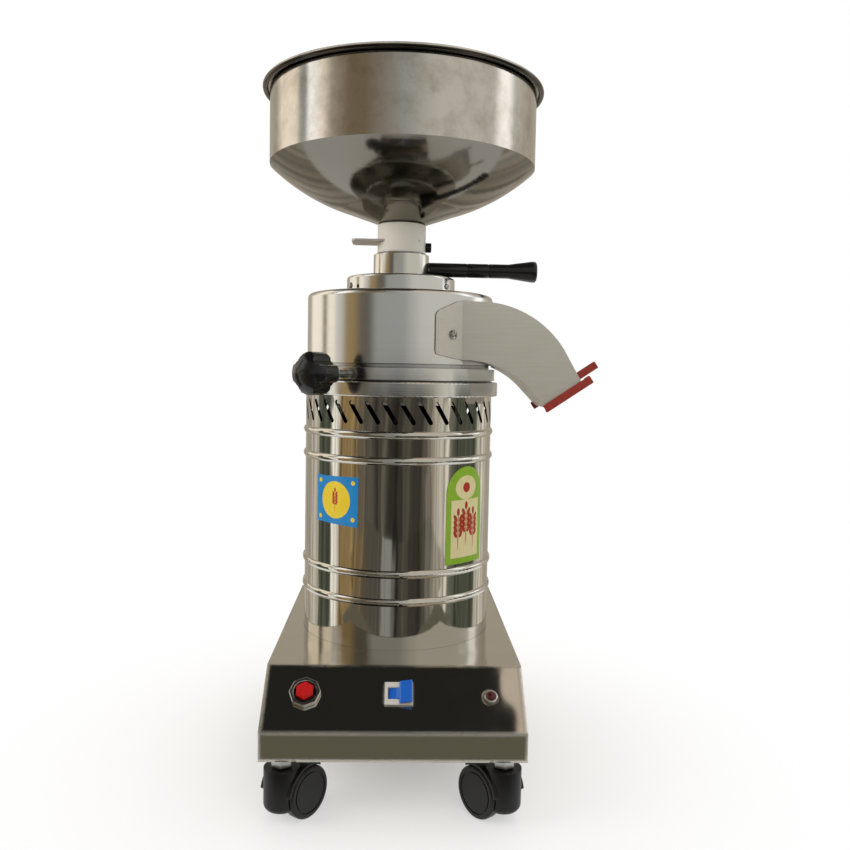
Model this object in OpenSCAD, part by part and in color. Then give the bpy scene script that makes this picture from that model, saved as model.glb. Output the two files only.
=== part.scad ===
// Vertical-shaft flour mill on castors: hopper, feed neck, grinding head, motor casing and base.
// Millimetres. +Z is up, the control panel faces -Y and the flour chute points to +X.
// The origin is on the motor axis, on the floor under the castors.

/* [Castors] */
// Height from the floor to the underside of the base
castor_h = 60; // [59:1:90]
// Diameter of a castor wheel
wheel_d = 47; // [42:1:48]
// Width of one wheel
wheel_w = 11; // [9:0.5:16]
// Distance from the swivel axis to the wheel axle
castor_trail = 18; // [15:0.5:24]
// Thickness of the hood's web between the two wheels
castor_web = 13; // [11:0.5:18]
// Diameter of the stub axle
axle_d = 8; // [6:0.5:12]
// Diameter of the swivel stem
stem_d = 8; // [6:0.5:9]
// Distance of a stem from the side edge of the base
stem_inset_x = 19; // [16:1:40]
// Distance of a stem from the front or back edge of the base
stem_inset_y = 15; // [14:1:40]
// Height of the nut under the base
stem_nut_h = 9; // [6:0.5:9]
// Width across the flats of the stem nut
stem_nut_af = 17; // [14:1:20]
// Turn of the front castors away from straight back
front_swivel = 37; // [0:1:90]
// Turn of the rear castors away from straight back
rear_swivel = 20; // [0:1:90]

/* [Base] */
// Width of the base
base_w = 235; // [225:1:270]
// Reach of the base in front of the motor axis
base_front = 191; // [180:1:220]
// Reach of the base behind the motor axis
base_back = 150; // [130:1:190]
// Height of the base
base_h = 68; // [64:1:90]
// Height of the upright band below the control panel
band_h = 26; // [20:1:32]
// Depth that the control panel leans back over
panel_run = 51; // [44:1:60]
// Thickness of the base sheet
base_sheet = 1.5; // [1:0.1:2.5]
// Height of the tray's turned-up sides
tray_lip = 18; // [14:1:24]

/* [Controls] */
// Distance of the control row below the panel's top edge
control_row = 29; // [26:1:33]
// Distance of the reset button from the base's left side
reset_inset = 37.5; // [23:0.5:57]
// Place of the rocker switch across the panel
rocker_x = 4; // [-20:1:20]
// Distance of the lamp from the base's right side
lamp_inset = 30.5; // [20:0.5:57]
// Width across the flats of the reset nut
reset_nut_af = 26.5; // [26:0.5:30]
// Diameter of the reset bush
reset_bush_d = 20; // [20:0.5:23]
// Width across the flats of the red reset cap
reset_cap_af = 15; // [13:0.5:15.5]
// Travel of the reset cap
reset_travel = 3; // [2:0.5:4]
// Width of the rocker's frame
rocker_w = 25.5; // [22:0.5:32]
// Height of the rocker's frame
rocker_h = 22; // [20:0.5:28]
// Tilt of the rocker to each side of the middle
rocker_tilt = 8; // [6:0.5:9]
// Diameter of the lamp's bezel
lamp_d = 12; // [12:0.5:20]
// Distance of the lamp below the row of controls
lamp_drop = 2.5; // [0:0.5:5]

/* [Motor casing] */
// Outside radius of the casing tube
casing_r = 98.4; // [96:0.2:108]
// Height of the casing tube
casing_h = 247; // [240:1:300]
// Thickness of the casing sheet
casing_sheet = 1.2; // [0.8:0.1:2]
// Radius of the rolled beads' cross-section
bead_r = 4.6; // [2.5:0.1:5]
// How far a bead stands out
bead_out = 2.1; // [0.8:0.1:2.2]
// Height of the lowest bead above the base
bead_low = 47; // [30:1:60]
// Height of the lowest upper bead above the base
bead_high = 185; // [150:1:190]
// Spacing of the two beads in a pair
bead_gap = 25; // [15:1:27]
// Distance between the two lower beads
bead_low_gap = 27.5; // [15:0.5:34]
// Number of vent slots
vent_count = 36; // [24:1:40]
// Width of a vent slot
vent_w = 4.4; // [3:0.2:5.5]
// Height of a vent slot
vent_h = 22; // [14:1:22]
// Lean of a vent slot
vent_lean = 32; // [0:1:36]
// Distance of the slots' middle below the casing's top
vent_drop = 15.5; // [14:0.5:20]
// Outer radius step of the flange beyond the casing
flange_step = 6; // [3:0.5:10]
// Height of the flange
flange_h = 14.5; // [14:0.5:22]

/* [Motor] */
// Height of the lower end shield above the base
motor_lift = 57; // [40:1:60]
// Thickness of an end shield
shield_t = 8; // [6:0.5:10]
// Height of the shield's rim that grips the stator
shield_rim_h = 34; // [30:1:36]
// Stack height of the stator
stator_h = 70; // [50:1:72]
// Space between the stator and the casing, where the tie rods run
stator_room = 21.2; // [20.4:0.1:31]
// Outer radius of the rotor
rotor_r = 43; // [36:0.5:46]
// Air gap between rotor and stator
air_gap = 0.5; // [0.3:0.1:1]
// Radius of the motor shaft
shaft_r = 10; // [8:0.5:12]
// Outer radius of a ball bearing
bearing_r = 23.5; // [20:0.5:26]
// Width of a ball bearing
bearing_w = 14; // [10:0.5:16]
// Diameter of a tie rod
rod_d = 8; // [6:0.5:8.5]
// Outer radius of the cooling fan
fan_r = 74; // [50:1:76]
// Height of the cooling fan
fan_h = 22; // [14:1:24]

/* [Grinding head] */
// Outside radius of the grinding chamber
chamber_r = 97.5; // [94:0.5:102]
// Height of the chamber above its groove
chamber_h = 72; // [71:1:85]
// Thickness of the chamber's wall
chamber_wall = 5.5; // [4:0.5:7]
// Thickness of the chamber's top
chamber_top_t = 6; // [4:0.5:7]
// Radius of the chamber's rounded top edge
chamber_edge = 5; // [2:0.5:7]
// Step of the skirt ring beyond the chamber
ring_step = 3.5; // [2:0.5:6]
// Height of the skirt ring
ring_h = 13.5; // [13.5:0.5:20]
// Height of the groove between ring and chamber
groove_h = 4; // [2:0.5:6]
// Depth of the groove
groove_d = 2.6; // [0.5:0.1:3]
// Outer radius of the millstones
stone_r = 76; // [60:1:78]
// Thickness of the runner stone
runner_t = 22; // [16:0.5:22.5]
// Thickness of the bed stone
bed_t = 21.6; // [16:0.1:22]
// Gap between the stones at rest
stone_gap = 0.4; // [0.3:0.05:1]
// Radius of the feed eye
eye_r = 17; // [15:0.5:18]
// Radius of the head collar
collar_r = 57; // [50:0.5:70]
// Height of the head collar
collar_h = 18.5; // [15:0.5:26]
// Radius of the adjuster sleeve
sleeve_r = 29.2; // [28.6:0.2:34]
// Height of the adjuster sleeve above the collar
sleeve_h = 24.5; // [22:0.5:32]
// Radius of the sleeve's threaded part
thread_r = 27; // [26:0.2:28]
// Radius of the feed tube
tube_r = 24; // [22.5:0.2:24.4]
// Height of the handle above the collar
handle_rise = 10; // [8.5:0.5:11]
// Reach of the handle from the mill's axis
handle_reach = 143.7; // [110:1:180]
// Radius of the handle's grip
grip_r = 7.4; // [6:0.2:8]
// Radius of the grip's flared end
grip_end_r = 11; // [8:0.5:14]

/* [Clamp] */
// Place of the clamp knob, turned from the front towards the left
clamp_angle = 32; // [20:1:70]
// Diameter of the clamp stud
clamp_stud_d = 8; // [6:0.5:8]
// Radius of the clamp knob
knob_r = 20; // [16:0.5:24]
// Distance of the knob's middle from the mill's axis
knob_place = 146; // [138:1:160]
// Number of lobes on the knob
knob_lobes = 4; // [4:1:8]

/* [Chute] */
// Distance of the chute's front wall in front of the mill's axis
chute_front = 78.5; // [70:0.5:82]
// Width of the chute
chute_w = 79; // [60:1:85]
// Thickness of the chute's sheet
chute_sheet = 1.5; // [1:0.1:2]
// Distance of the chute's top below the chamber's top
chute_top_drop = 10; // [9:0.5:16]
// Height of the chute's floor above the groove
chute_floor_rise = 4.8; // [4:0.2:12]
// Bend radius of the chute's top
chute_top_r = 99; // [85:1:115]
// Turn of the chute's top
chute_top_turn = 60; // [50:1:64]
// Straight run at the end of the chute's top
chute_top_run = 35; // [20:1:40]
// Bend radius of the chute's floor
chute_floor_r = 88; // [76:1:95]
// Turn of the chute's floor
chute_floor_turn = 46; // [40:1:52]
// Straight run at the end of the chute's floor
chute_floor_run = 26.5; // [18:0.5:34]
// Length of a tab along the chamber
tab_len = 24; // [20:1:32]
// Thickness of the outlet trim across the outlet's edge
trim_t = 8; // [6:0.5:10]
// Overhang of the front trim past the chute's top
trim_front_over = 10; // [4:1:20]
// Overhang of the back trim past the chute's top
trim_back_over = 37; // [4:1:45]

/* [Hopper] */
// Outside radius of the hopper's wall
hopper_r = 138; // [110:1:160]
// Height of the hopper's upright wall
hopper_wall_h = 75.5; // [50:0.5:100]
// Slope of the hopper's cone near its spout
hopper_slope = 20; // [16:1:24]
// Radius from the axis at which the cone begins to curve up
bowl_start = 70; // [50:1:90]
// Radius of the cone's curved edge
bowl_r = 210; // [180:1:320]
// Thickness of the hopper's sheet
hopper_sheet = 1.2; // [0.8:0.1:2]
// Radius of the rolled rim
rim_r = 2.8; // [2:0.2:3.6]
// Distance of the rolled rim's middle from the hopper's wall
rim_out = 4.6; // [3.4:0.2:6]
// Radius of the hopper's spout
spout_r = 22; // [20:0.2:22.4]
// Length of the spout inside the neck
spout_l = 11; // [8:0.5:11.5]
// Radius of the feed neck
neck_r = 25.4; // [25:0.2:30]
// Height of the feed neck
neck_h = 31; // [31:0.5:40]
// Thickness of the feed gate
gate_t = 2; // [1.5:0.1:2.4]
// Reach of the gate to the left of the axis
gate_reach = 52; // [40:1:70]
// Width of the gate
gate_w = 36; // [36:0.5:38]

/* [Hidden] */
$fn = 96;
small_fn = 32;

// Clearances
run_gap = 0.05;
slide_gap = 0.15;
lift_gap = 0.3;
seat_gap = 0.1;
pass_gap = 0.4;
far = 400;

// How far a cut runs on past the face that it opens
cut_over = 10;

// Heights of the stack, from the floor up
z_base = castor_h;
z_top = z_base + base_h;
z_casing = z_top + casing_h;
z_flange = z_casing + flange_h;
z_ring = z_flange + ring_h;
z_groove = z_ring + groove_h;
z_chamber = z_groove + chamber_h;
z_collar = z_chamber + collar_h;
z_sleeve = z_collar + sleeve_h;
z_neck = z_sleeve + neck_h;
bowl_ease = 0.15;
bowl_out = bowl_start - (bowl_r - bowl_ease) * sin(hopper_slope);
bowl_up = z_neck + (bowl_start - spout_r) * tan(hopper_slope) + (bowl_r - bowl_ease) * cos(hopper_slope);
z_cone = bowl_up - sqrt(bowl_r * bowl_r - (hopper_r - bowl_out) * (hopper_r - bowl_out));
z_rim = z_cone + hopper_wall_h;
lip_low = 0.6;
z_lip = z_rim + lip_low;

// Castors
wheel_r = wheel_d / 2;
cover_r = wheel_r + 0.8;
hood_r = cover_r + 2.2;
castor_half = castor_web / 2 + wheel_w + 0.5;
boss_r = 16;
boss_low = 11;
boss_soft = 7;
boss_top = z_base - stem_nut_h - 1.5;
stem_foot = boss_low + 8;
stem_rise = 12;
axle_reach = castor_web / 2 + wheel_w - 2.5;
stem_x = base_w / 2 - stem_inset_x;
stem_front = -base_front + stem_inset_y;
stem_back = base_back - stem_inset_y;
CASTORS = [
    [-stem_x, stem_front, 90 - front_swivel],
    [stem_x, stem_front, 90 + front_swivel],
    [-stem_x, stem_back, 90 - rear_swivel],
    [stem_x, stem_back, 90 + rear_swivel]
];

// Base
panel_rise = base_h - band_h;
panel_angle = atan2(panel_rise, panel_run);
panel_top_y = -base_front + panel_run;
tray_t = 2;
tray_z = z_base + tray_t;
wire_hole_r = 40;
screw_r = 2;
tray_screw_z = tray_z + 9;
gland_x = -60;
gland_z = z_base + 32;
gland_bore_r = 4.5;
gland_r = 8;
capacitor_r = 22;
capacitor_h = 52;
capacitor_at = [base_w / 2 - 55.5, 78];

// Controls, measured outwards from the panel's face
reset_x = -base_w / 2 + reset_inset;
lamp_x = base_w / 2 - lamp_inset;
bush_out = 5;
bush_bore_r = reset_cap_af / 2 / cos(30) + 0.4;
breaker_size = [30, 22, 22];
breaker_floor = base_sheet + breaker_size[2];
cap_out = 8;
rocker_flange_t = 2;
rocker_deep = 14;
rocker_rim = 3;
rocker_cheek = 5.25;
rocker_len = rocker_h - 2 * rocker_cheek;
paddle_end = rocker_w / 2 + 0.2;
paddle_len = rocker_h - 1;
rocker_half = rocker_w / 2 - rocker_rim;
rocker_pin_r = 1.5;
lamp_bezel_t = 2.5;
lamp_barrel_r = lamp_d / 2 - 0.8;
lamp_wall = 0.7;
lamp_deep = 16;

// Motor
casing_bore = casing_r - casing_sheet;
z_shield = z_top + motor_lift;
z_stator = z_shield + shield_t + shield_rim_h;
z_stator_top = z_stator + stator_h;
z_shield_top = z_stator_top + shield_rim_h + shield_t;
shield_r = casing_bore - 5;
stator_r = casing_bore - stator_room;
rim_wall = 5;
rod_r = rod_d / 2;
rod_gap = 6;
rod_circle = stator_r + rod_r + rod_gap;
rod_foot = z_top - base_sheet - 12;
rod_bite = 10;
rod_nut_h = 7;
spacer_r = rod_r + 2.6;
coil_h = 22;
coil_in = rotor_r + air_gap + 7;
coil_out = stator_r - 9;
fan_gap = 3;
z_fan = z_shield_top + fan_gap;
shaft_foot = z_shield - 8;

// Grinding head
chamber_bore = chamber_r - chamber_wall;
ring_r = chamber_r + ring_step;
joint_h = 1.6;
joint_d = 2.5;
spigot_r = chamber_bore + 2;
spigot_h = 12;
z_spigot = z_flange + spigot_h;
flange_r = casing_r + flange_step;
holder_t = 7;
z_holder = z_groove + 1;
z_runner = z_holder + holder_t;
z_bed = z_runner + runner_t + stone_gap;
z_carrier = z_bed + bed_t;
carrier_t = 6;
holder_r = stone_r + 2;
sweep_gap = 1.5;
sweep_low = 3.5;
sweep_w = 5;
sweep_h = 15;
sweep_root = 12;
nut_h = 9;
z_shaft_nut = z_runner + 2;
collar_spigot_r = 40;
sleeve_gap = 0.6;
sleeve_foot = z_chamber - chamber_top_t + 1;
tube_cap_t = 1.2;
gate_rise = 11;
tube_cap_r = neck_r - 0.6;
spigot_tip_r = eye_r + 3;
z_tube_cap = z_sleeve + tube_cap_t;
z_gate = z_tube_cap + gate_rise;
z_tube_tip = z_gate - 1.2;
z_handle = z_collar + handle_rise;
handle_rod_r = 4;
grip_marks = [40.7, 63.7];
mark_w = 1.2;
mark_deep = 0.5;
rod_tip = handle_reach - 20;

// Clamp
z_clamp = z_flange + ring_h / 2;
stud_r = clamp_stud_d / 2;
stud_tip = spigot_r + lift_gap;
clamp_nut_af = 15;
clamp_nut_t = 6.5;
knob_half = 12;
knob_dome = 8;
knob_face_r = 24;
knob_soft = 3;
flute_deep = 5.5;
knob_hub_l = 10;
knob_hub_r = 9;
knob_in = knob_place - knob_half - knob_hub_l;
clamp_nut_in = knob_in - seat_gap - clamp_nut_t;
lobe_r = knob_r * 0.42;

// Chute outline in the XZ plane
chute_root = 15;
chute_top_in = 19.5;
chute_floor_in = 32.5;
chute_top_x = chamber_r - chute_top_in;
chute_floor_x = chamber_r - chute_floor_in;
z_chute_top = z_chamber - chute_top_drop;
z_chute_floor = z_groove + chute_floor_rise;
tab_r = chamber_r + seat_gap;
tab_h_in = 18;
tab_low = 5.5;
chute_screw_z = (z_chute_top + z_chute_floor) / 2 - 4.4;
chute_screw_r = 2.5;
chute_head_r = 4.6;
cross_w = 1.1;
cross_l = 5.4;
cross_foot = 2.1;
front_bend_x = sqrt(pow(tab_r, 2) - pow(chute_front, 2));
chute_x0 = front_bend_x - chute_root;
front_tab_angle = asin((front_bend_x - tab_len * 0.32) / tab_r);
back_tab_y = chute_w - chute_front;
back_tab_angle = 90 + asin((back_tab_y + tab_len * 0.4) / tab_r);
trim_wall = 1.75;
trim_grip = 5;
trim_under = 3;

// Hopper
spout_bore = spout_r - hopper_sheet;
z_spout = z_neck - spout_l;
neck_top_bore = spout_r + slide_gap;
gate_stop = eye_r + 1.5;
lock_z = z_sleeve + 8.5;
lock_r = 5;
lock_l = 6;
lock_stem_r = 2.5;

// A rectangle of a turned profile, from radius r0 to r1 and height z0 to z1
module band(r0, r1, z0, z1) {
    translate([r0, z0]) square([r1 - r0, z1 - z0]);
}

// A ring between two radii and two heights
module ring(r_out, r_in, z0, z1) {
    rotate_extrude() band(r_in, r_out, z0, z1);
}

// A plain upright cylinder between two heights
module post(r, z0, z1) {
    translate([0, 0, z0]) cylinder(r = r, h = z1 - z0);
}

// Copies spread evenly round the mill's axis
module round_copies(count, radius, start = 0) {
    for (i = [0 : count - 1]) rotate([0, 0, start + i * 360 / count]) translate([radius, 0, 0]) children();
}

// A hexagon prism of a given width across its flats
module hex(af, h) {
    rotate([0, 0, 30]) cylinder(r = af / 2 / cos(30), h = h, $fn = 6);
}

// The panel's own frame: X across, Y up the slope, Z outwards
module on_panel(x) {
    translate([x, panel_top_y - control_row * cos(panel_angle), z_top - control_row * sin(panel_angle)])
        rotate([panel_angle, 0, 0]) children();
}

// A radial frame at an angle from the front towards the right: Z points outwards
module radial(angle, z) {
    translate([0, 0, z]) rotate([0, 0, angle - 90]) rotate([0, 90, 0]) children();
}

// A castor's own frame: swivel axis upright at its origin, wheels trailing towards +X
module at_castor(index) {
    translate([CASTORS[index][0], CASTORS[index][1], 0]) rotate([0, 0, CASTORS[index][2]]) children();
}

// A round bar along Y through the wheel axle of a castor
module axle_bar(r, y0, y1) {
    translate([castor_trail, y1, wheel_r]) rotate([90, 0, 0]) cylinder(r = r, h = y1 - y0);
}

// Base

// Side outline of the base, drawn in by the given thickness
module base_outline(inset) {
    lean = inset * tan(panel_angle / 2);
    rise = inset * tan((90 - panel_angle) / 2);
    foot = inset > 0 ? z_base - 1 : z_base;
    polygon([
        [-base_front + inset, foot],
        [-base_front + inset, z_base + band_h - rise],
        [panel_top_y + lean, z_top - inset],
        [base_back - inset, z_top - inset],
        [base_back - inset, foot]
    ]);
}

module across_base(width) {
    translate([-width / 2, 0, 0]) rotate([90, 0, 90]) linear_extrude(width) children();
}

module base_shell() {
    color("silver") difference() {
        across_base(base_w) base_outline(0);
        across_base(base_w - 2 * base_sheet) base_outline(base_sheet);
        post(wire_hole_r, z_top - base_sheet - 1, z_top + 1);
        round_copies(4, rod_circle, 45) post(rod_r + pass_gap, z_top - base_sheet - 1, z_top + 1);
        on_panel(reset_x) translate([0, 0, -8]) cylinder(d = reset_bush_d + 2 * slide_gap, h = 16);
        on_panel(rocker_x) rocker_box(slide_gap, 8);
        on_panel(lamp_x) translate([0, -lamp_drop, -8]) cylinder(r = lamp_barrel_r + slide_gap, h = 16);
        translate([gland_x, base_back - 8, gland_z]) rotate([-90, 0, 0])
            cylinder(r = gland_r + slide_gap, h = 16, $fn = small_fn);
        tray_screw_places() cylinder(r = screw_r + run_gap, h = 20, center = true, $fn = small_fn);
    }
}

// The four places where the tray is screwed to the sides, Z pointing outwards
module tray_screw_places() {
    for (side = [-1, 1], y = [-base_front * 0.55, base_back * 0.6])
        translate([side * base_w / 2, y, tray_screw_z]) rotate([0, side * 90, 0]) children();
}

module base_tray() {
    w = base_w - 2 * base_sheet - 2 * seat_gap;
    front = -base_front + base_sheet + seat_gap;
    back = base_back - base_sheet - seat_gap;
    color("gray") difference() {
        union() {
            translate([-w / 2, front, z_base]) cube([w, back - front, tray_t]);
            for (side = [0, 1]) translate([-w / 2 + side * (w - tray_t), front, z_base])
                cube([tray_t, back - front, tray_lip]);
        }
        for (c = CASTORS) translate([c[0], c[1], 0]) post(stem_d / 2 + slide_gap, z_base - 1, tray_z + 1);
        tray_screw_places() cylinder(r = screw_r + run_gap, h = 20, center = true, $fn = small_fn);
        translate([capacitor_at[0], capacitor_at[1], 0]) post(4 + slide_gap, z_base - 1, tray_z + 1);
    }
}

module tray_screws() {
    color("gainsboro") tray_screw_places() {
        translate([0, 0, -8]) cylinder(r = screw_r, h = 8, $fn = small_fn);
        rotate_extrude($fn = small_fn) intersection() {
            translate([0, -2]) circle(4.4);
            square([4, 3]);
        }
    }
}

module capacitor() {
    color("dimgray") translate([capacitor_at[0], capacitor_at[1], 0]) {
        post(capacitor_r, tray_z, tray_z + capacitor_h);
        post(4, z_base - 4, tray_z);
        for (x = [-7, 7]) translate([x - 3, -0.5, tray_z + capacitor_h]) cube([6, 1, 5]);
    }
}

module cable_gland() {
    color("black") translate([gland_x, base_back, gland_z]) rotate([-90, 0, 0]) difference() {
        union() {
            translate([0, 0, -12]) cylinder(r = gland_r, h = 14);
            cylinder(r = gland_r + 4, h = 5, $fn = 6);
            translate([0, 0, 5]) cylinder(r = gland_r + 1, h = 9);
            translate([0, 0, -base_sheet - 5]) cylinder(r = gland_r + 3, h = 5, $fn = 6);
        }
        translate([0, 0, -20]) cylinder(r = gland_bore_r, h = 40);
    }
}

// Controls on the panel

module breaker_body() {
    color("black") on_panel(reset_x) difference() {
        union() {
            translate([-breaker_size[0] / 2, -breaker_size[1] / 2, -breaker_floor])
                cube(breaker_size);
            translate([0, 0, -base_sheet - 1]) cylinder(d = reset_bush_d, h = bush_out + base_sheet + 1);
        }
        translate([0, 0, -breaker_floor + 4]) cylinder(r = bush_bore_r, h = far);
    }
}

module breaker_nut() {
    color("silver") on_panel(reset_x) difference() {
        cylinder(r = reset_nut_af / 2 / cos(22.5), h = bush_out - 0.5, $fn = 8);
        translate([0, 0, -1]) cylinder(d = reset_bush_d + 2 * run_gap, h = 20);
    }
}

module reset_button() {
    color("red") on_panel(reset_x) translate([0, 0, -breaker_floor + 4 + reset_travel + 1]) {
        length = breaker_floor - 4 - reset_travel - 1 + cap_out;
        hex(reset_cap_af, length - 1.2);
        translate([0, 0, length - 1.2]) hex(reset_cap_af - 2, 1.2);
        translate([0, 0, 2]) cylinder(r = bush_bore_r - run_gap, h = 4);
    }
}

// The part of the rocker's frame behind its flange
module rocker_box(gap, out) {
    translate([-rocker_w / 2 + 1.5 - gap, -rocker_h / 2 + 1.5 - gap, -rocker_deep])
        cube([rocker_w - 3 + 2 * gap, rocker_h - 3 + 2 * gap, rocker_deep + out]);
}

module rocker_frame() {
    color("gainsboro") on_panel(rocker_x) difference() {
        union() {
            rocker_box(0, 0);
            translate([-rocker_w / 2, -rocker_h / 2, 0]) cube([rocker_w, rocker_h, rocker_flange_t]);
        }
        translate([-rocker_half, -rocker_len / 2, -rocker_deep + 2])
            cube([2 * rocker_half, rocker_len, far]);
        rotate([90, 0, 0])
            cylinder(r = rocker_pin_r + run_gap, h = rocker_len + 3, center = true, $fn = small_fn);
    }
}

// Height of the paddle's underside on the rocker, so that it just clears the frame when pressed
function paddle_low(u) = (rocker_flange_t + 0.4 + u * sin(rocker_tilt)) / cos(rocker_tilt);

// Rocker: its narrow left half is pressed in at rest, the wide paddle on its right half stands up
module rocker() {
    wing = rocker_half - 0.8;
    tip = paddle_low(paddle_end);
    color("royalblue") on_panel(rocker_x) {
        rotate([90, -rocker_tilt, 0]) {
            linear_extrude(rocker_len - 2 * pass_gap, center = true) polygon([
                [-wing, 1.2], [-2, 2.2], [1.2, 3.4], [6, 4], [6, -1], [4, -3.4], [-5, -3.4], [-wing, -1.6]
            ]);
            linear_extrude(paddle_len, center = true) polygon([
                [1, 3.1], [3, paddle_low(3)], [paddle_end, tip], [paddle_end, tip + 1.2],
                [paddle_end - 1, tip + 1.8], [2.5, 4.6], [1, 3.6]
            ]);
        }
        rotate([90, 0, 0]) cylinder(r = rocker_pin_r, h = rocker_len + 2, center = true, $fn = small_fn);
    }
}

module lamp_bezel() {
    color("silver") on_panel(lamp_x) translate([0, -lamp_drop, 0]) difference() {
        union() {
            rotate_extrude() {
                band(0, lamp_d / 2 - 1, 0, lamp_bezel_t);
                band(0, lamp_d / 2, 0, lamp_bezel_t - 1);
                translate([lamp_d / 2 - 1, lamp_bezel_t - 1]) intersection() {
                    circle(1);
                    square(2);
                }
            }
            translate([0, 0, -lamp_deep]) cylinder(r = lamp_barrel_r, h = lamp_deep);
        }
        translate([0, 0, -lamp_deep + 2]) cylinder(r = lamp_barrel_r - lamp_wall, h = far);
    }
}

module lamp_lens() {
    r = lamp_barrel_r - lamp_wall - run_gap;
    color("darkred") on_panel(lamp_x) translate([0, -lamp_drop, 0]) {
        translate([0, 0, -lamp_deep + 2]) cylinder(r = r, h = lamp_deep - 2 + lamp_bezel_t - 0.6);
        translate([0, 0, lamp_bezel_t - 0.6]) rotate_extrude() intersection() {
            translate([0, -r * 0.75]) circle(r * 1.25);
            square([r, r]);
        }
    }
}

// Motor casing and flange

module motor_casing() {
    color("silver") difference() {
        union() {
            ring(casing_r, casing_bore, z_top, z_casing);
            for (z = [bead_low, bead_low + bead_low_gap, bead_high, bead_high + bead_gap])
                translate([0, 0, z_top + z]) difference() {
                    rotate_extrude() translate([casing_r + bead_out - bead_r, 0])
                        circle(bead_r, $fn = small_fn);
                    cylinder(r = casing_bore, h = 4 * bead_r, center = true);
                }
        }
        for (i = [0 : vent_count - 1]) radial((i + 0.5) * 360 / vent_count, z_casing - vent_drop)
            vent_cut();
    }
}

// One slanting slot with round ends, cut through the casing sheet
module vent_cut() {
    reach = vent_h / cos(vent_lean) / 2 - vent_w / 2;
    rotate([0, 0, vent_lean]) translate([0, 0, casing_r - 6]) {
        translate([-reach, -vent_w / 2, 0]) cube([2 * reach, vent_w, 12]);
        for (end = [-reach, reach]) translate([end, 0, 0]) cylinder(d = vent_w, h = 12, $fn = small_fn);
    }
}

module casing_flange() {
    lip_r = casing_bore - lift_gap;
    color("lightgray") difference() {
        rotate_extrude() difference() {
            union() {
                band(0, flange_r - 1.5, z_casing, z_flange);
                band(0, flange_r, z_casing + 1.5, z_flange - 1.5);
                for (z = [z_casing + 1.5, z_flange - 1.5])
                    translate([flange_r - 1.5, z]) circle(1.5, $fn = small_fn);
                band(0, spigot_r, z_flange - 1, z_spigot);
                band(lip_r - 2.4, lip_r, z_casing - 8, z_casing + 1);
            }
            band(0, shaft_r + pass_gap, z_casing - 10, z_spigot + 1);
            band(shaft_r + 18, rod_circle - rod_r - 4, z_casing - 1, z_flange - 4);
        }
        round_copies(4, rod_circle, 45) post(rod_r + run_gap, z_casing - 1, z_casing + rod_bite + 1);
    }
}

module tie_rods() {
    color("gainsboro") round_copies(4, rod_circle, 45) {
        post(rod_r, rod_foot, z_casing + rod_bite);
        difference() {
            translate([0, 0, z_top - base_sheet - rod_nut_h]) hex(rod_d * 1.625, rod_nut_h);
            post(rod_r + run_gap, 0, z_top);
        }
    }
}

module rod_spacers() {
    color("gray") round_copies(4, rod_circle, 45) {
        ring(spacer_r, rod_r + slide_gap, z_top, z_shield);
        ring(spacer_r, rod_r + slide_gap, z_shield_top, z_casing);
    }
}

// An end shield with its bearing seat; the plate is at the bottom and the rim stands up from it
module end_shield() {
    color("lightgray") difference() {
        rotate_extrude() {
            difference() {
                union() {
                    band(0, shield_r, 0, shield_t);
                    band(stator_r - rim_wall, stator_r + 1.5, 0, shield_t + shield_rim_h);
                    band(0, bearing_r + 5, 0, bearing_w + 4);
                }
                band(0, bearing_r + run_gap, 4, far);
                band(0, shaft_r + pass_gap, -1, far);
            }
        }
        round_copies(4, rod_circle, 45) post(rod_r + slide_gap, -1, shield_t + 1);
        round_copies(6, (bearing_r + stator_r) / 2, 30) post(9, -1, shield_t + 1);
    }
}

module lower_shield() {
    translate([0, 0, z_shield]) end_shield();
}

module upper_shield() {
    translate([0, 0, z_shield_top]) mirror([0, 0, 1]) end_shield();
}

module ball_bearings() {
    color("silver") for (z = [z_shield + 4, z_shield_top - 4 - bearing_w])
        rotate_extrude() difference() {
            band(shaft_r + run_gap, bearing_r, z, z + bearing_w);
            for (edge = [z - 1, z + bearing_w - 1])
                band(shaft_r + 4, bearing_r - 4, edge, edge + 2);
        }
}

module stator_core() {
    color("dimgray") ring(stator_r, rotor_r + air_gap, z_stator, z_stator_top);
}

// End turns of the winding, above and below the stator stack
module stator_windings() {
    soft = 5;
    color("sienna") for (z = [z_stator - coil_h, z_stator_top]) rotate_extrude() {
        band(coil_in + soft, coil_out - soft, z, z + coil_h);
        band(coil_in, coil_out, z + soft, z + coil_h - soft);
        for (r = [coil_in + soft, coil_out - soft], edge = [z + soft, z + coil_h - soft])
            translate([r, edge]) circle(soft, $fn = small_fn);
    }
}

module rotor_core() {
    color("slategray") ring(rotor_r, shaft_r, z_stator, z_stator_top);
}

module motor_shaft() {
    color("gainsboro") post(shaft_r, shaft_foot, z_shaft_nut + nut_h + 2);
}

module cooling_fan() {
    blades = 12;
    color("black") {
        ring(fan_r, shaft_r, z_fan, z_fan + 2);
        ring(shaft_r + 7, shaft_r, z_fan, z_fan + fan_h);
        for (i = [0 : blades - 1]) rotate([0, 0, i * 360 / blades])
            translate([shaft_r + 18, -1, z_fan + 1]) cube([fan_r - shaft_r - 19, 2, fan_h - 1]);
    }
}

// Grinding head

module runner_holder() {
    color("silver") difference() {
        union() {
            ring(holder_r, shaft_r, z_holder, z_runner);
            ring(shaft_r + 8, shaft_r, z_holder - sweep_low, z_runner);
            for (i = [0 : 2]) rotate([0, 0, i * 120]) intersection() {
                translate([holder_r - sweep_root, -sweep_w / 2, z_holder - sweep_low])
                    cube([chamber_bore, sweep_w, sweep_h]);
                ring(chamber_bore - sweep_gap, holder_r - sweep_root + 2, z_holder - sweep_low, z_runner + 8);
            }
        }
        post(stone_r + slide_gap, z_runner, z_runner + far);
    }
}

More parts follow.
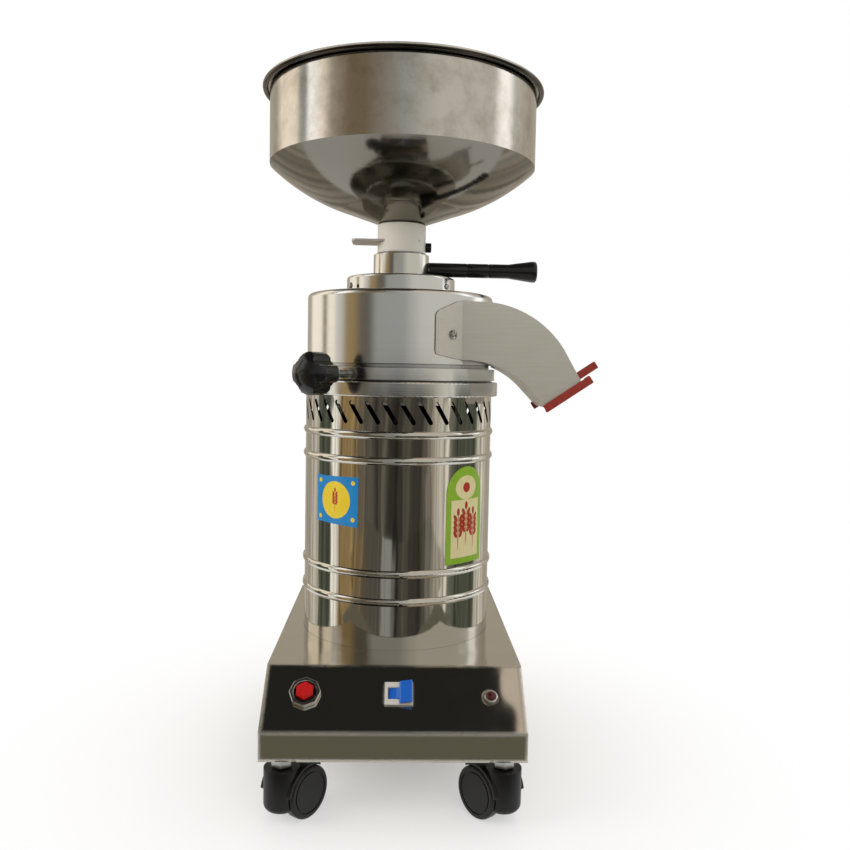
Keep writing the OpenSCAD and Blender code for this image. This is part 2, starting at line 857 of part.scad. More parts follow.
module runner_stone() {
    color("tan") ring(stone_r, eye_r, z_runner, z_runner + runner_t);
}

module runner_nut() {
    color("gainsboro") difference() {
        union() {
            translate([0, 0, z_shaft_nut]) hex(eye_r * 1.5, nut_h);
            post(eye_r - 1, z_runner, z_shaft_nut);
        }
        post(shaft_r + run_gap, 0, far * 2);
    }
}

module chamber_shell() {
    color("lightgray") difference() {
        rotate_extrude() difference() {
            union() {
                band(0, ring_r - joint_d, z_flange, z_ring);
                band(0, ring_r, z_flange + joint_h, z_ring);
                band(0, chamber_r - groove_d, z_ring, z_groove);
                band(0, chamber_r, z_groove, z_chamber - chamber_edge);
                band(0, chamber_r - chamber_edge, z_chamber - chamber_edge, z_chamber);
                translate([chamber_r - chamber_edge, z_chamber - chamber_edge]) circle(chamber_edge);
            }
            band(0, spigot_r + lift_gap, z_flange - 1, z_spigot + 0.5);
            band(0, chamber_bore, z_spigot, z_chamber - chamber_top_t);
            band(0, collar_spigot_r + run_gap, z_spigot, z_chamber + 1);
        }
        chute_space(chute_x0);
        radial(-clamp_angle, z_clamp) translate([0, 0, spigot_r - 4])
            cylinder(r = stud_r + run_gap, h = ring_r - spigot_r + cut_over, $fn = small_fn);
        for (angle = [front_tab_angle, back_tab_angle]) radial(angle, chute_screw_z)
            cylinder(r = chute_screw_r + run_gap, h = chamber_r + cut_over, $fn = small_fn);
    }
}

module head_collar() {
    edge = 2.5;
    color("lightgray") difference() {
        rotate_extrude() difference() {
            union() {
                band(0, collar_r, z_chamber, z_collar - edge);
                band(0, collar_r - edge, z_chamber, z_collar);
                translate([collar_r - edge, z_collar - edge]) circle(edge, $fn = small_fn);
                band(0, collar_spigot_r, z_chamber - chamber_top_t, z_chamber + 1);
            }
            band(0, thread_r + 2 * run_gap, z_chamber - chamber_top_t - 1, z_collar + 1);
        }
        for (i = [0 : 2]) radial(-65 + i * 120, z_chamber + 8) collar_screw_cut();
        radial(-50, z_chamber + 6.5) collar_screw_cut();
    }
}

module collar_screw_cut() {
    translate([0, 0, collar_r - 14]) cylinder(r = screw_r + run_gap, h = 20, $fn = small_fn);
}

module collar_screws() {
    color("gainsboro") for (i = [0 : 2]) radial(-65 + i * 120, z_chamber + 8) {
        translate([0, 0, collar_r - 13]) cylinder(r = screw_r, h = 13.4, $fn = small_fn);
        translate([0, 0, collar_r + 0.2]) rotate_extrude($fn = small_fn) intersection() {
            translate([0, -1.2]) circle(3.4);
            square([3.1, 3]);
        }
    }
}

// Chute

// Where a bend ends, from its centre, radius and turn
function bend_end(c, r, turn) = [c[0] + r * sin(turn), c[1] + r * cos(turn)];

// A point further on along a straight run that points down by the given turn
function run_on(p, turn, length) = [p[0] + length * cos(turn), p[1] - length * sin(turn)];

// Outline of the chute, drawn in by the given thickness; its open end is left long when drawn in.
// The straight runs lie a hair inside the bends' tangents, so that each arc meets them cleanly.
module chute_outline(inset, x0) {
    extra = inset > 0 ? 2 * cut_over : 0;
    top_r = chute_top_r - inset;
    floor_r = chute_floor_r + inset;
    top_bend = bend_end(top_centre, top_r - bend_ease, chute_top_turn);
    floor_bend = bend_end(floor_centre, floor_r - bend_ease, chute_floor_turn);
    floor_start = bend_end(floor_centre, floor_r - bend_ease, 0);
    corner = bend_end(top_centre, (top_r - bend_ease) / cos(chute_top_turn / 2), chute_top_turn / 2);
    difference() {
        polygon([
            [x0, corner[1]], corner,
            run_on(top_bend, chute_top_turn, chute_top_run + extra),
            run_on(floor_bend, chute_floor_turn, chute_floor_run + extra),
            floor_bend, floor_start, [x0, floor_start[1]]
        ]);
        difference() {
            polygon([
                bend_end(top_centre, top_r + 1, 0),
                bend_end(top_centre, (top_r + 2) / cos(chute_top_turn / 2), chute_top_turn / 2),
                bend_end(top_centre, top_r + 1, chute_top_turn)
            ]);
            translate(top_centre) circle(top_r);
        }
        translate(floor_centre) circle(floor_r);
    }
}

bend_ease = 0.15;
top_centre = [chute_top_x, z_chute_top - chute_top_r];
floor_centre = [chute_floor_x, z_chute_floor - chute_floor_r];

// Corners of the outlet's edge, the lower one first
outlet_low = run_on(
    bend_end(floor_centre, chute_floor_r - bend_ease, chute_floor_turn), chute_floor_turn, chute_floor_run);
outlet_top = run_on(
    bend_end(top_centre, chute_top_r - bend_ease, chute_top_turn), chute_top_turn, chute_top_run);
outlet_len = norm(outlet_top - outlet_low);
outlet_angle = atan2(outlet_top[1] - outlet_low[1], outlet_top[0] - outlet_low[0]);

// Extrusion of an XZ outline between two places along Y
module along_y(y0, y1) {
    translate([0, y1, 0]) rotate([90, 0, 0]) linear_extrude(y1 - y0) children();
}

// The hollow of the chute, carried on inwards to the given X
module chute_space(x0) {
    along_y(-chute_front + chute_sheet, -chute_front + chute_w - chute_sheet) chute_outline(chute_sheet, x0);
}

// Outline of a tab seen square on, from its bend to its rounded end
module tab_outline() {
    soft = 3;
    edge = 0.8;
    z0 = z_chute_floor + tab_low;
    z1 = z_chute_top - tab_h_in + tab_low;
    low = z_chute_floor + edge;
    high = z_chute_top - edge;
    polygon([
        [-3, low], [-3, high], [2, high], [tab_len - soft, z1 + soft * 0.8],
        [tab_len - soft * 0.3, z1], [tab_len, z1 - soft],
        [tab_len, z0 + soft], [tab_len - soft * 0.3, z0], [tab_len - soft, z0 - soft * 0.3], [2, low]
    ]);
}

module chute() {
    color("darkgray") difference() {
        union() {
            along_y(-chute_front, -chute_front + chute_w) chute_outline(0, chute_x0);
            intersection() {
                post(tab_r + chute_sheet, z_groove, z_chamber);
                translate([front_bend_x, 0, 0]) mirror([1, 0, 0])
                    along_y(-chamber_r - cut_over, -chute_front / 2) tab_outline();
            }
            intersection() {
                post(tab_r + chute_sheet, z_groove, z_chamber);
                translate([0, back_tab_y, 0]) rotate([0, 0, 90])
                    along_y(-chamber_r - cut_over, -chamber_r / 2) tab_outline();
            }
        }
        chute_space(0);
        post(tab_r, z_flange, z_collar);
        for (angle = [front_tab_angle, back_tab_angle]) radial(angle, chute_screw_z)
            cylinder(r = chute_screw_r + run_gap, h = chamber_r + cut_over, $fn = small_fn);
    }
}

module chute_screws() {
    head = tab_r + chute_sheet + seat_gap + 0.25;
    color("gainsboro") for (angle = [front_tab_angle, back_tab_angle]) radial(angle, chute_screw_z) {
        translate([0, 0, chamber_bore + 0.5])
            cylinder(r = chute_screw_r, h = head - chamber_bore, $fn = small_fn);
        translate([0, 0, head]) difference() {
            rotate_extrude($fn = small_fn) intersection() {
                translate([0, -1.6]) circle(chute_head_r + 0.4);
                square([chute_head_r, 4]);
            }
            for (turn = [25, 115]) rotate([0, 0, turn])
                translate([-cross_w / 2, -cross_l / 2, cross_foot]) cube([cross_w, cross_l, 4]);
        }
    }
}

// Rubber edging on one side wall: a U channel pushed over the wall's outlet edge
module outlet_trim(y, over) {
    color("firebrick") translate([outlet_low[0], y, outlet_low[1]])
        rotate([0, -outlet_angle, 0]) difference() {
        translate([-trim_under, -chute_sheet / 2 - trim_wall, trim_grip - trim_t])
            cube([outlet_len + trim_under + over, chute_sheet + 2 * trim_wall, trim_t]);
        translate([-trim_under - 1, -chute_sheet / 2 - run_gap, 0])
            cube([outlet_len + trim_under + over + 2, chute_sheet + 2 * run_gap, trim_t]);
        // room for the chute's top and floor sheets, which meet the wall inside the channel
        for (x = [-trim_under - 1, outlet_len - 3.5])
            translate([x, y < -chute_front / 2 ? 0 : -far, 0]) cube([trim_under + 4.5, far, trim_t]);
    }
}

module outlet_trim_front() {
    outlet_trim(-chute_front + chute_sheet / 2, trim_front_over);
}

module outlet_trim_back() {
    outlet_trim(-chute_front + chute_w - chute_sheet / 2, trim_back_over);
}

// Clamp

module clamp_nut() {
    color("silver") radial(-clamp_angle, z_clamp) difference() {
        translate([0, 0, clamp_nut_in]) hex(clamp_nut_af, clamp_nut_t);
        cylinder(r = stud_r + run_gap, h = far, $fn = small_fn);
    }
}

module clamp_stud() {
    color("silver") radial(-clamp_angle, z_clamp)
        translate([0, 0, stud_tip]) cylinder(r = stud_r, h = knob_place - stud_tip, $fn = small_fn);
}

module clamp_knob() {
    color("black") radial(-clamp_angle, z_clamp) difference() {
        union() {
            translate([0, 0, knob_in]) cylinder(r = knob_hub_r, h = knob_hub_l + 2);
            intersection() {
                union() {
                    translate([0, 0, knob_place - knob_half - 1]) cylinder(r = knob_r - flute_deep, h = far);
                    for (i = [0 : knob_lobes - 1]) rotate([0, 0, i * 360 / knob_lobes])
                        translate([knob_r - lobe_r, 0, knob_place - knob_half - 1])
                            cylinder(r = lobe_r, h = far, $fn = small_fn);
                }
                translate([0, 0, knob_place]) rotate_extrude() knob_profile();
            }
        }
        translate([0, 0, knob_in - 1])
            cylinder(r = stud_r + run_gap, h = knob_place - knob_in + 1.2, $fn = small_fn);
    }
}

// Half section of the knob's head about its middle: bevelled back edge and domed face
module knob_profile() {
    top = knob_half + knob_dome;
    intersection() {
        polygon([
            [0, -knob_half], [knob_r - knob_soft, -knob_half], [knob_r, -knob_half + knob_soft],
            [knob_r, top], [0, top]
        ]);
        translate([0, top - knob_face_r]) circle(knob_face_r);
    }
}

// Upper stone, feed tube and adjuster

module stone_carrier() {
    color("silver") rotate_extrude() difference() {
        union() {
            band(0, stone_r + 2, z_carrier, z_carrier + carrier_t);
            band(0, tube_r, z_carrier, z_sleeve + 0.5);
            band(0, tube_cap_r, z_sleeve + seat_gap, z_tube_cap);
            band(0, spigot_tip_r, z_tube_cap - 1, z_tube_tip);
        }
        band(0, eye_r, z_carrier - 1, z_tube_tip + 1);
    }
}

module bed_stone() {
    color("tan") ring(stone_r, eye_r, z_bed, z_carrier);
}

module adjuster_sleeve() {
    edge = 1.2;
    color("silver") difference() {
        rotate_extrude() difference() {
            union() {
                band(0, thread_r, sleeve_foot, z_collar + sleeve_gap + 1);
                band(0, sleeve_r - edge, z_collar + sleeve_gap, z_sleeve);
                band(0, sleeve_r, z_collar + sleeve_gap, z_sleeve - edge);
                translate([sleeve_r - edge, z_sleeve - edge]) circle(edge, $fn = small_fn);
            }
            band(0, tube_r + run_gap, sleeve_foot - 1, z_sleeve + 1);
        }
        translate([0, 0, z_handle]) rotate([0, 90, 0])
            cylinder(r = handle_rod_r + run_gap, h = far, $fn = small_fn);
    }
}

module handle_rod() {
    color("silver") translate([tube_r + 0.6, 0, z_handle]) rotate([0, 90, 0])
        cylinder(r = handle_rod_r, h = rod_tip - tube_r - 0.6, $fn = small_fn);
}

// Black grip with two ring grooves and a flared end
module handle_grip() {
    x0 = sleeve_r + seat_gap;
    flare = handle_reach - 30;
    color("black") translate([0, 0, z_handle]) rotate([0, 90, 0]) rotate_extrude() difference() {
        union() {
            polygon([
                [0, x0], [grip_r, x0], [grip_r, flare], [grip_r + 1.2, flare + 8],
                [grip_end_r - 0.6, handle_reach - 9], [grip_end_r, handle_reach - 5],
                [grip_end_r, handle_reach - 1.5], [grip_end_r - 1.5, handle_reach], [0, handle_reach]
            ]);
        }
        for (along = grip_marks)
            band(grip_r - mark_deep, grip_r + 1, x0 + along - mark_w / 2, x0 + along + mark_w / 2);
        band(0, handle_rod_r + run_gap, 0, rod_tip + 0.5);
    }
}

// Hopper, neck and gate

// Upright wall of the hopper with its rolled rim, welded on the cone's edge
module hopper_wall() {
    color("silver") rotate_extrude($fn = 128) {
        band(hopper_r - hopper_sheet, hopper_r, z_cone, z_lip + hopper_sheet);
        band(hopper_r - hopper_sheet / 2, hopper_r + rim_out, z_lip, z_lip + hopper_sheet);
        translate([hopper_r + rim_out, z_rim]) circle(rim_r, $fn = small_fn);
    }
}

// Half section of the room inside the hopper's cone, a given depth into its sheet
module bowl(deep, top) {
    foot = z_neck - spout_r * tan(hopper_slope) + deep / cos(hopper_slope);
    polygon([[0, foot], [bowl_start, foot + bowl_start * tan(hopper_slope)], [bowl_start, top], [0, top]]);
    intersection() {
        translate([bowl_out, bowl_up]) circle(bowl_r - deep);
        band(bowl_start - 30, hopper_r + 5, z_neck - 5, top);
    }
}

// Cone of the hopper, spun to a bowl at its edge, with its spout; the wall stands on its upper edge
module hopper_cone() {
    color("silver") rotate_extrude($fn = 128) difference() {
        union() {
            difference() {
                bowl(0, z_cone);
                bowl(hopper_sheet, z_cone + 1);
            }
            band(0, spout_r, z_spout, z_neck + hopper_sheet / 2);
        }
        band(0, spout_bore, z_spout - 1, z_rim);
    }
}

module feed_neck() {
    slot = gate_t + 2 * slide_gap;
    color("ivory") difference() {
        rotate_extrude() difference() {
            band(0, neck_r, z_tube_cap + seat_gap, z_neck - seat_gap);
            band(0, spigot_tip_r + slide_gap, z_sleeve, z_tube_tip + 0.4);
            band(0, eye_r, z_sleeve, z_neck);
            band(0, neck_top_bore, z_spout - 0.4, z_neck + 1);
        }
        translate([-far, -gate_w / 2 - slide_gap, z_gate - slide_gap])
            cube([far + gate_stop + slide_gap, gate_w + 2 * slide_gap, slot]);
        translate([0, 0, lock_z]) rotate([0, 90, 0])
            cylinder(r = lock_stem_r + run_gap, h = far, $fn = small_fn);
    }
}

module neck_lock_screw() {
    color("black") translate([0, 0, lock_z]) rotate([0, 90, 0]) {
        translate([0, 0, spigot_tip_r + 0.3])
            cylinder(r = lock_stem_r, h = neck_r - spigot_tip_r, $fn = small_fn);
        translate([0, 0, neck_r + seat_gap]) rotate_extrude($fn = small_fn) {
            band(0, lock_r - 1, 0, lock_l);
            band(0, lock_r, 0, lock_l - 1);
            translate([lock_r - 1, lock_l - 1]) circle(1, $fn = small_fn);
        }
    }
}

module feed_gate() {
    soft = 6;
    color("silver") translate([0, 0, z_gate]) linear_extrude(gate_t) {
        translate([-gate_reach + soft, -gate_w / 2]) square([gate_reach + gate_stop - soft, gate_w]);
        translate([-gate_reach, -gate_w / 2 + soft]) square([soft + 1, gate_w - 2 * soft]);
        for (y = [-1, 1])
            translate([-gate_reach + soft, y * (gate_w / 2 - soft)]) circle(soft, $fn = small_fn);
    }
}

// Castors

module castor_stems() {
    color("gainsboro") for (c = CASTORS) translate([c[0], c[1], 0]) {
        post(stem_d / 2, stem_foot, tray_z + stem_rise);
        for (z = [z_base - stem_nut_h, tray_z]) difference() {
            translate([0, 0, z]) hex(stem_nut_af, z < z_base ? stem_nut_h : 6);
            post(stem_d / 2 + run_gap, 0, z_top);
        }
    }
}

// Hood with its stem boss, its web and the stub axle that the two wheels turn on
module castor_hood(index) {
    web = castor_web / 2;
    color("black") at_castor(index) difference() {
        union() {
            intersection() {
                axle_bar(hood_r, -castor_half, castor_half);
                translate([-far / 2, -far / 2, wheel_r + 4]) cube([far / 2 + castor_trail + 13, far, far]);
            }
            axle_bar(wheel_r - 4, -web, web);
            translate([0, -web, boss_low]) cube([castor_trail, castor_web, wheel_r]);
            rotate_extrude() {
                band(0, boss_r, boss_low + boss_soft, boss_top);
                band(0, boss_r - boss_soft, boss_low, boss_top - 1);
                translate([boss_r - boss_soft, boss_low + boss_soft]) circle(boss_soft);
            }
            axle_bar(axle_d / 2, -axle_reach, axle_reach);
        }
        difference() {
            for (side = [-1, 1]) axle_bar(cover_r, side < 0 ? -far : web, side < 0 ? -web : far);
            axle_bar(axle_d / 2, -axle_reach, axle_reach);
        }
        post(stem_d / 2 + run_gap, stem_foot - 1, z_top);
    }
}

// One wheel, on the given side of the web
module castor_wheel(index, side) {
    soft = 2.5;
    inner = castor_web / 2 + 0.5;
    color("black") at_castor(index) translate([castor_trail, side * inner, wheel_r])
        rotate([-side * 90, 0, 0])
        rotate_extrude() difference() {
            union() {
                band(0, wheel_r - soft, 0, wheel_w);
                band(0, wheel_r, soft, wheel_w - soft);
                for (z = [soft, wheel_w - soft]) translate([wheel_r - soft, z]) circle(soft, $fn = small_fn);
            }
            band(0, axle_d / 2 + run_gap, -1, wheel_w - 2.5);
            band(wheel_r * 0.74, wheel_r * 0.8, wheel_w - 0.8, wheel_w + 1);
        }
}

base_shell();
base_tray();
tray_screws();
capacitor();
cable_gland();
breaker_body();
breaker_nut();
reset_button();
rocker_frame();
rocker();
lamp_bezel();
lamp_lens();
motor_casing();
casing_flange();
tie_rods();
rod_spacers();
lower_shield();
upper_shield();
ball_bearings();
stator_core();
stator_windings();
rotor_core();
motor_shaft();
cooling_fan();
runner_holder();
runner_stone();
runner_nut();
chamber_shell();
head_collar();
collar_screws();
chute();
chute_screws();
outlet_trim_front();
outlet_trim_back();
clamp_nut();
clamp_stud();
clamp_knob();
stone_carrier();
bed_stone();
adjuster_sleeve();
handle_rod();
handle_grip();
hopper_wall();
hopper_cone();
feed_neck();
neck_lock_screw();
feed_gate();
castor_stems();
castor_hood(0);  // castor_hood_fl
castor_hood(1);  // castor_hood_fr
castor_hood(2);  // castor_hood_rl
castor_hood(3);  // castor_hood_rr
castor_wheel(0, 1);  // wheel_fl_a
castor_wheel(0, -1);  // wheel_fl_b
castor_wheel(1, 1);  // wheel_fr_a
castor_wheel(1, -1);  // wheel_fr_b
castor_wheel(2, 1);  // wheel_rl_a
castor_wheel(2, -1);  // wheel_rl_b
castor_wheel(3, 1);  // wheel_rr_a
castor_wheel(3, -1);  // wheel_rr_b
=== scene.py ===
# %% [markdown]
# # A flour mill on castors, dressed for its portrait
# The mill is a stack of bright metal shells: a pressed steel base with a sloped control panel, a
# polished motor casing, a turned aluminium grinding head, a nylon feed neck and a spun steel hopper.
# Its solids are already built to size, so this lesson adds what the eye needs: a camera, light worth
# reflecting, and one honest finish for every piece. The first cell loads the solids as a fixed frame
# that nothing here moves.

# %% Load the frame
import math

import bpy
from mathutils import Matrix, Vector


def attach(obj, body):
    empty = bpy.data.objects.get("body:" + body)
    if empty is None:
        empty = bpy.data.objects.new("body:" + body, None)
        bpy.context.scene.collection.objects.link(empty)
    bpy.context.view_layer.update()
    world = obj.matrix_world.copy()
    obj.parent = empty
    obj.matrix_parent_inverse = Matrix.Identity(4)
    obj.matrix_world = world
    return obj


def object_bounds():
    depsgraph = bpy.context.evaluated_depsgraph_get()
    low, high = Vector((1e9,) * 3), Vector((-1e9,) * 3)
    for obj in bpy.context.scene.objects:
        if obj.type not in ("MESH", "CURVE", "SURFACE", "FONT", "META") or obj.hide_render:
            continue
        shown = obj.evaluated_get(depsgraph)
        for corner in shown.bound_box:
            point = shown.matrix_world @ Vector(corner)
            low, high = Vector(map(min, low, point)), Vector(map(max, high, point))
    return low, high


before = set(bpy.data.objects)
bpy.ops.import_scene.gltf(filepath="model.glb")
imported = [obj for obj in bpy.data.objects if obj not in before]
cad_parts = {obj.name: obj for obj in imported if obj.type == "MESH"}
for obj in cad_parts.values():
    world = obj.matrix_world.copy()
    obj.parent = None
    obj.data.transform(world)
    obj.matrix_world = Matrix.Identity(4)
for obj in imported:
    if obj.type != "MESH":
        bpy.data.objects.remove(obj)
cad_low, cad_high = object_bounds()
scene = bpy.context.scene
scene.view_settings.view_transform = "Standard"
print(len(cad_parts), "solids, box in metres:", [round(v, 4) for v in cad_high - cad_low])

# %% [markdown]
# ## The camera
# A polished object changes its whole face when the camera moves, so the camera comes first. It stands
# about 0.9 m in front of the mill, at the height of the grinding head, looks a little down and a little
# to the right, and is held a degree off level. The view is built from three axes instead of angles in
# an object's rotation, because the tilt is then plain to read: right, up and the way back.

# %% Place the camera
EYE = Vector((-0.0010, -0.9082, 0.4010))
LOOK_DOWN, LOOK_RIGHT, TILT = (math.radians(angle) for angle in (3.69, 1.85, 1.06))
VIEW_ANGLE = math.radians(53.27)

ahead = Vector((math.sin(LOOK_RIGHT) * math.cos(LOOK_DOWN),
                math.cos(LOOK_RIGHT) * math.cos(LOOK_DOWN), -math.sin(LOOK_DOWN)))
level = Vector((math.cos(LOOK_RIGHT), -math.sin(LOOK_RIGHT), 0))
steep = level.cross(ahead)
right = level * math.cos(TILT) + steep * math.sin(TILT)
up = steep * math.cos(TILT) - level * math.sin(TILT)

camera = bpy.data.objects.new("camera", bpy.data.cameras.new("camera"))
camera.data.sensor_fit = "HORIZONTAL"
camera.data.angle = VIEW_ANGLE
camera.matrix_world = Matrix.Translation(EYE) @ Matrix((right, up, -ahead)).transposed().to_4x4()
scene.collection.objects.link(camera)
scene.camera = camera
print("camera", [round(v, 3) for v in EYE], "view", round(math.degrees(VIEW_ANGLE), 2), "degrees")

# %% [markdown]
# ## Helpers for every material
# Colours are written as the hex values that a paint program shows, and one function turns them into the
# linear light that the renderer counts in. Another adds a node, sets its options and its sockets by
# name, and links its inputs. The short ones after it are the steps that most finishes share: mapping
# one range to another, mixing two tones, and letting something glow. Each finish below then reads like
# a short recipe.

# %% Colour and node helpers
def linear(hex_colour):
    """Turns an sRGB hex colour into linear RGBA."""
    parts = [int(hex_colour[i:i + 2], 16) / 255 for i in (1, 3, 5)]
    return [c / 12.92 if c <= 0.04045 else ((c + 0.055) / 1.055) ** 2.4 for c in parts] + [1.0]


def plug(tree, target, sockets):
    """Links sockets to a node's inputs by name."""
    for name, socket in sockets.items():
        tree.links.new(socket, target.inputs[name])


def node(tree, kind, settings={}, links={}):
    """Adds a node: settings by option or socket name, links from other nodes' sockets."""
    new = tree.nodes.new("ShaderNode" + kind)
    for name, value in settings.items():
        if isinstance(name, str) and hasattr(new, name):
            setattr(new, name, value)
        else:
            new.inputs[name].default_value = value
    plug(tree, new, links)
    return new


def empty_tree(owner):
    """Gives a material or the world an empty node tree."""
    owner.use_nodes = True
    owner.node_tree.nodes.clear()
    return owner.node_tree


def ranged(tree, value, source=(0.0, 1.0), target=(0.0, 1.0)):
    """Maps a value from one range to another."""
    return node(tree, "MapRange", {"From Min": source[0], "From Max": source[1],
                                   "To Min": target[0], "To Max": target[1]},
                {"Value": value}).outputs["Result"]


def two_tones(tree, share, first, second):
    """Mixes two hex colours."""
    return node(tree, "Mix", {"data_type": "RGBA", 6: linear(first), 7: linear(second)},
                {0: share}).outputs[2]


def glowing(tree, strength, links, settings={}):
    """Ends a studio material as an even glow."""
    glow = node(tree, "Emission", {"Strength": strength} | settings, links)
    node(tree, "OutputMaterial", {}, {"Surface": glow.outputs["Emission"]})


print("white is", linear("#ffffff"), "and mid grey is", [round(c, 3) for c in linear("#808080")])

# %% [markdown]
# ## Floor and background
# The mill stands on a round white table top in a white studio. The table keeps the castors' shadow near
# the mill and fades into the background towards its rim, so that no edge crosses the picture. The white
# around it is the world's own colour at a strength of one: it is the background, and the metal shows it
# too. The fade has already begun under the mill, so the shadow stays pale.

# %% White studio
TABLE_R, TABLE_STEPS, FADE_FROM = 0.46, 96, -0.10

world = bpy.data.worlds.new("white studio")
scene.world = world
tree = empty_tree(world)
white = node(tree, "Background", {"Color": linear("#ffffff"), "Strength": 1.0})
node(tree, "OutputWorld", {}, {"Surface": white.outputs["Background"]})

table_paint = bpy.data.materials.new("white lacquered table")
tree = empty_tree(table_paint)
place = node(tree, "TexCoord")
radius = node(tree, "VectorMath", {"operation": "LENGTH"}, {0: place.outputs["Object"]})
fade = node(tree, "MapRange",
            {"interpolation_type": "SMOOTHSTEP", "From Min": FADE_FROM, "From Max": TABLE_R},
            {"Value": radius.outputs["Value"]})
paint = node(tree, "BsdfPrincipled", {"Base Color": linear("#f6f6f5"), "Roughness": 0.6})
haze = node(tree, "Emission", {"Color": linear("#ffffff"), "Strength": 1.0})
both = node(tree, "MixShader", {},
            {"Fac": fade.outputs["Result"], 1: paint.outputs["BSDF"], 2: haze.outputs["Emission"]})
node(tree, "OutputMaterial", {}, {"Surface": both.outputs["Shader"]})


def stage_piece(name, corners, faces, material):
    """Adds a piece of the studio, which is not part of the mill."""
    mesh = bpy.data.meshes.new(name)
    mesh.from_pydata(corners, [], faces)
    mesh.materials.append(material)
    made = bpy.data.objects.new(name, mesh)
    scene.collection.objects.link(made)
    return made


rim = [Vector((math.cos(angle), math.sin(angle), 0)) * TABLE_R
       for angle in (math.tau * step / TABLE_STEPS for step in range(TABLE_STEPS))]
stage_piece("table_top", rim, [range(TABLE_STEPS)], table_paint)
print("table", TABLE_R * 2, "m across")

# %% [markdown]
# ## Cards to reflect
# Polished steel has almost no colour of its own: it shows the room. A photographer therefore hangs
# cards round the work, light ones and dark ones, just out of the picture. Here they are one ring of
# cloth about the mill with three rows of cards on it. The motor casing mirrors the lower row: an olive
# cloth on either hand, a window and a golden card on the left, umber in front and beige on the right.
# Tan cloth closes the ring behind the mill, where the edges of every round piece find it. The head
# mirrors the middle row and the hopper the upper one, which are brighter. The ring glows by itself, so
# its tones stay as written, and it is hidden from the camera so that it never stands in another view.
# Hung cloth has folds, and the lower row's show on the casing as fine upright lines.

# %% Ring of cards
RING_R, RING_LOW, RING_HIGH, RING_STEPS = 1.7, -0.8, 2.0, 64
LOW_EDGE, HIGH_EDGE = (0.35, 0.40), (0.70, 0.85)
CARD_GLOW = 1.5
FOLD_DEGREES, FOLD_DEPTH = 4.5, 0.45
OLIVE, GOLD, UMBER, NIGHT = "#484c42", "#85714e", "#57534b", "#302e2a"
BEIGE, WINDOW, CREAM, GREY = "#b8b4a9", "#dcdad2", "#e8dece", "#b4b2ac"
TAN, SHADE, LIGHT, SLATE = "#979084", "#685d4b", "#ffffff", "#8d8e8b"
LOWER_ROW = (
    (-180, TAN), (-130, TAN), (-124, BEIGE), (-114, BEIGE), (-108, OLIVE), (-88, OLIVE), (-83, WINDOW),
    (-76, WINDOW), (-71, GOLD), (-54, GOLD), (-42, UMBER), (-32, UMBER), (-24, NIGHT), (-16, UMBER),
    (-9, NIGHT), (4, NIGHT), (12, UMBER), (20, NIGHT), (33, UMBER), (42, TAN), (51, BEIGE), (62, BEIGE),
    (68, OLIVE), (106, OLIVE), (114, BEIGE), (128, BEIGE), (136, TAN), (180, TAN),
)
MIDDLE_ROW = (
    (-180, TAN), (-140, TAN), (-132, CREAM), (-108, CREAM), (-104, SHADE), (-100, SHADE), (-96, CREAM),
    (-86, CREAM), (-80, GREY), (-74, GREY), (-66, GOLD), (-56, GOLD), (-46, UMBER), (-36, UMBER),
    (-28, SLATE), (4, SLATE), (26, GREY), (96, GREY), (103, LIGHT), (114, LIGHT), (121, GREY),
    (138, TAN), (180, TAN),
)
UPPER_ROW = (
    (-180, TAN), (-130, TAN), (-119, CREAM), (-98, CREAM), (-92, SLATE), (-86, SLATE), (-81, LIGHT),
    (-75, LIGHT), (-67, CREAM), (-58, TAN), (-44, SHADE), (-30, SHADE), (0, SLATE), (28, GREY),
    (78, GREY), (84, LIGHT), (94, LIGHT), (102, GREY), (130, TAN), (180, TAN),
)
FLOOR_ROW = (
    (-180, TAN), (-83, WINDOW), (-70, GOLD), (-50, GOLD), (-34, UMBER), (-17, UMBER), (-14, SLATE),
    (-5, SLATE), (-2, NIGHT), (10, UMBER), (22, NIGHT), (33, UMBER), (42, TAN), (58, BEIGE),
    (68, OLIVE), (180, TAN),
)


def cards_by_bearing(tree, place, cards):
    """Lays tones round the mill by bearing in degrees; gives the colour, the bearing and the height."""
    axes = node(tree, "SeparateXYZ", {}, {"Vector": place})
    back = node(tree, "Math", {"operation": "MULTIPLY", 1: -1.0}, {0: axes.outputs["Y"]})
    bearing = node(tree, "Math", {"operation": "ARCTAN2"},
                   {0: axes.outputs["X"], 1: back.outputs["Value"]})
    along = ranged(tree, bearing.outputs["Value"], (-math.pi, math.pi))
    ramp = node(tree, "ValToRGB", {}, {"Fac": along})
    for index, (angle, tone) in enumerate(cards):
        position = (angle + 180) / 360
        stop = ramp.color_ramp.elements[index] if index < 2 else ramp.color_ramp.elements.new(position)
        stop.position, stop.color = position, linear(tone)
    return ramp.outputs["Color"], bearing.outputs["Value"], axes.outputs["Z"]


def in_folds(tree, colour, bearing):
    """Darkens and lightens a row of cards in the upright folds of hung cloth."""
    folds = node(tree, "TexNoise",
                 {"noise_dimensions": "1D", "Scale": math.degrees(1) / FOLD_DEGREES, "Detail": 3.0},
                 {"W": bearing})
    depth = ranged(tree, folds.outputs["Fac"], (0.3, 0.7), (1 - FOLD_DEPTH, 1 + FOLD_DEPTH))
    folded = node(tree, "VectorMath", {"operation": "SCALE"}, {0: colour, "Scale": depth})
    return folded.outputs["Vector"]


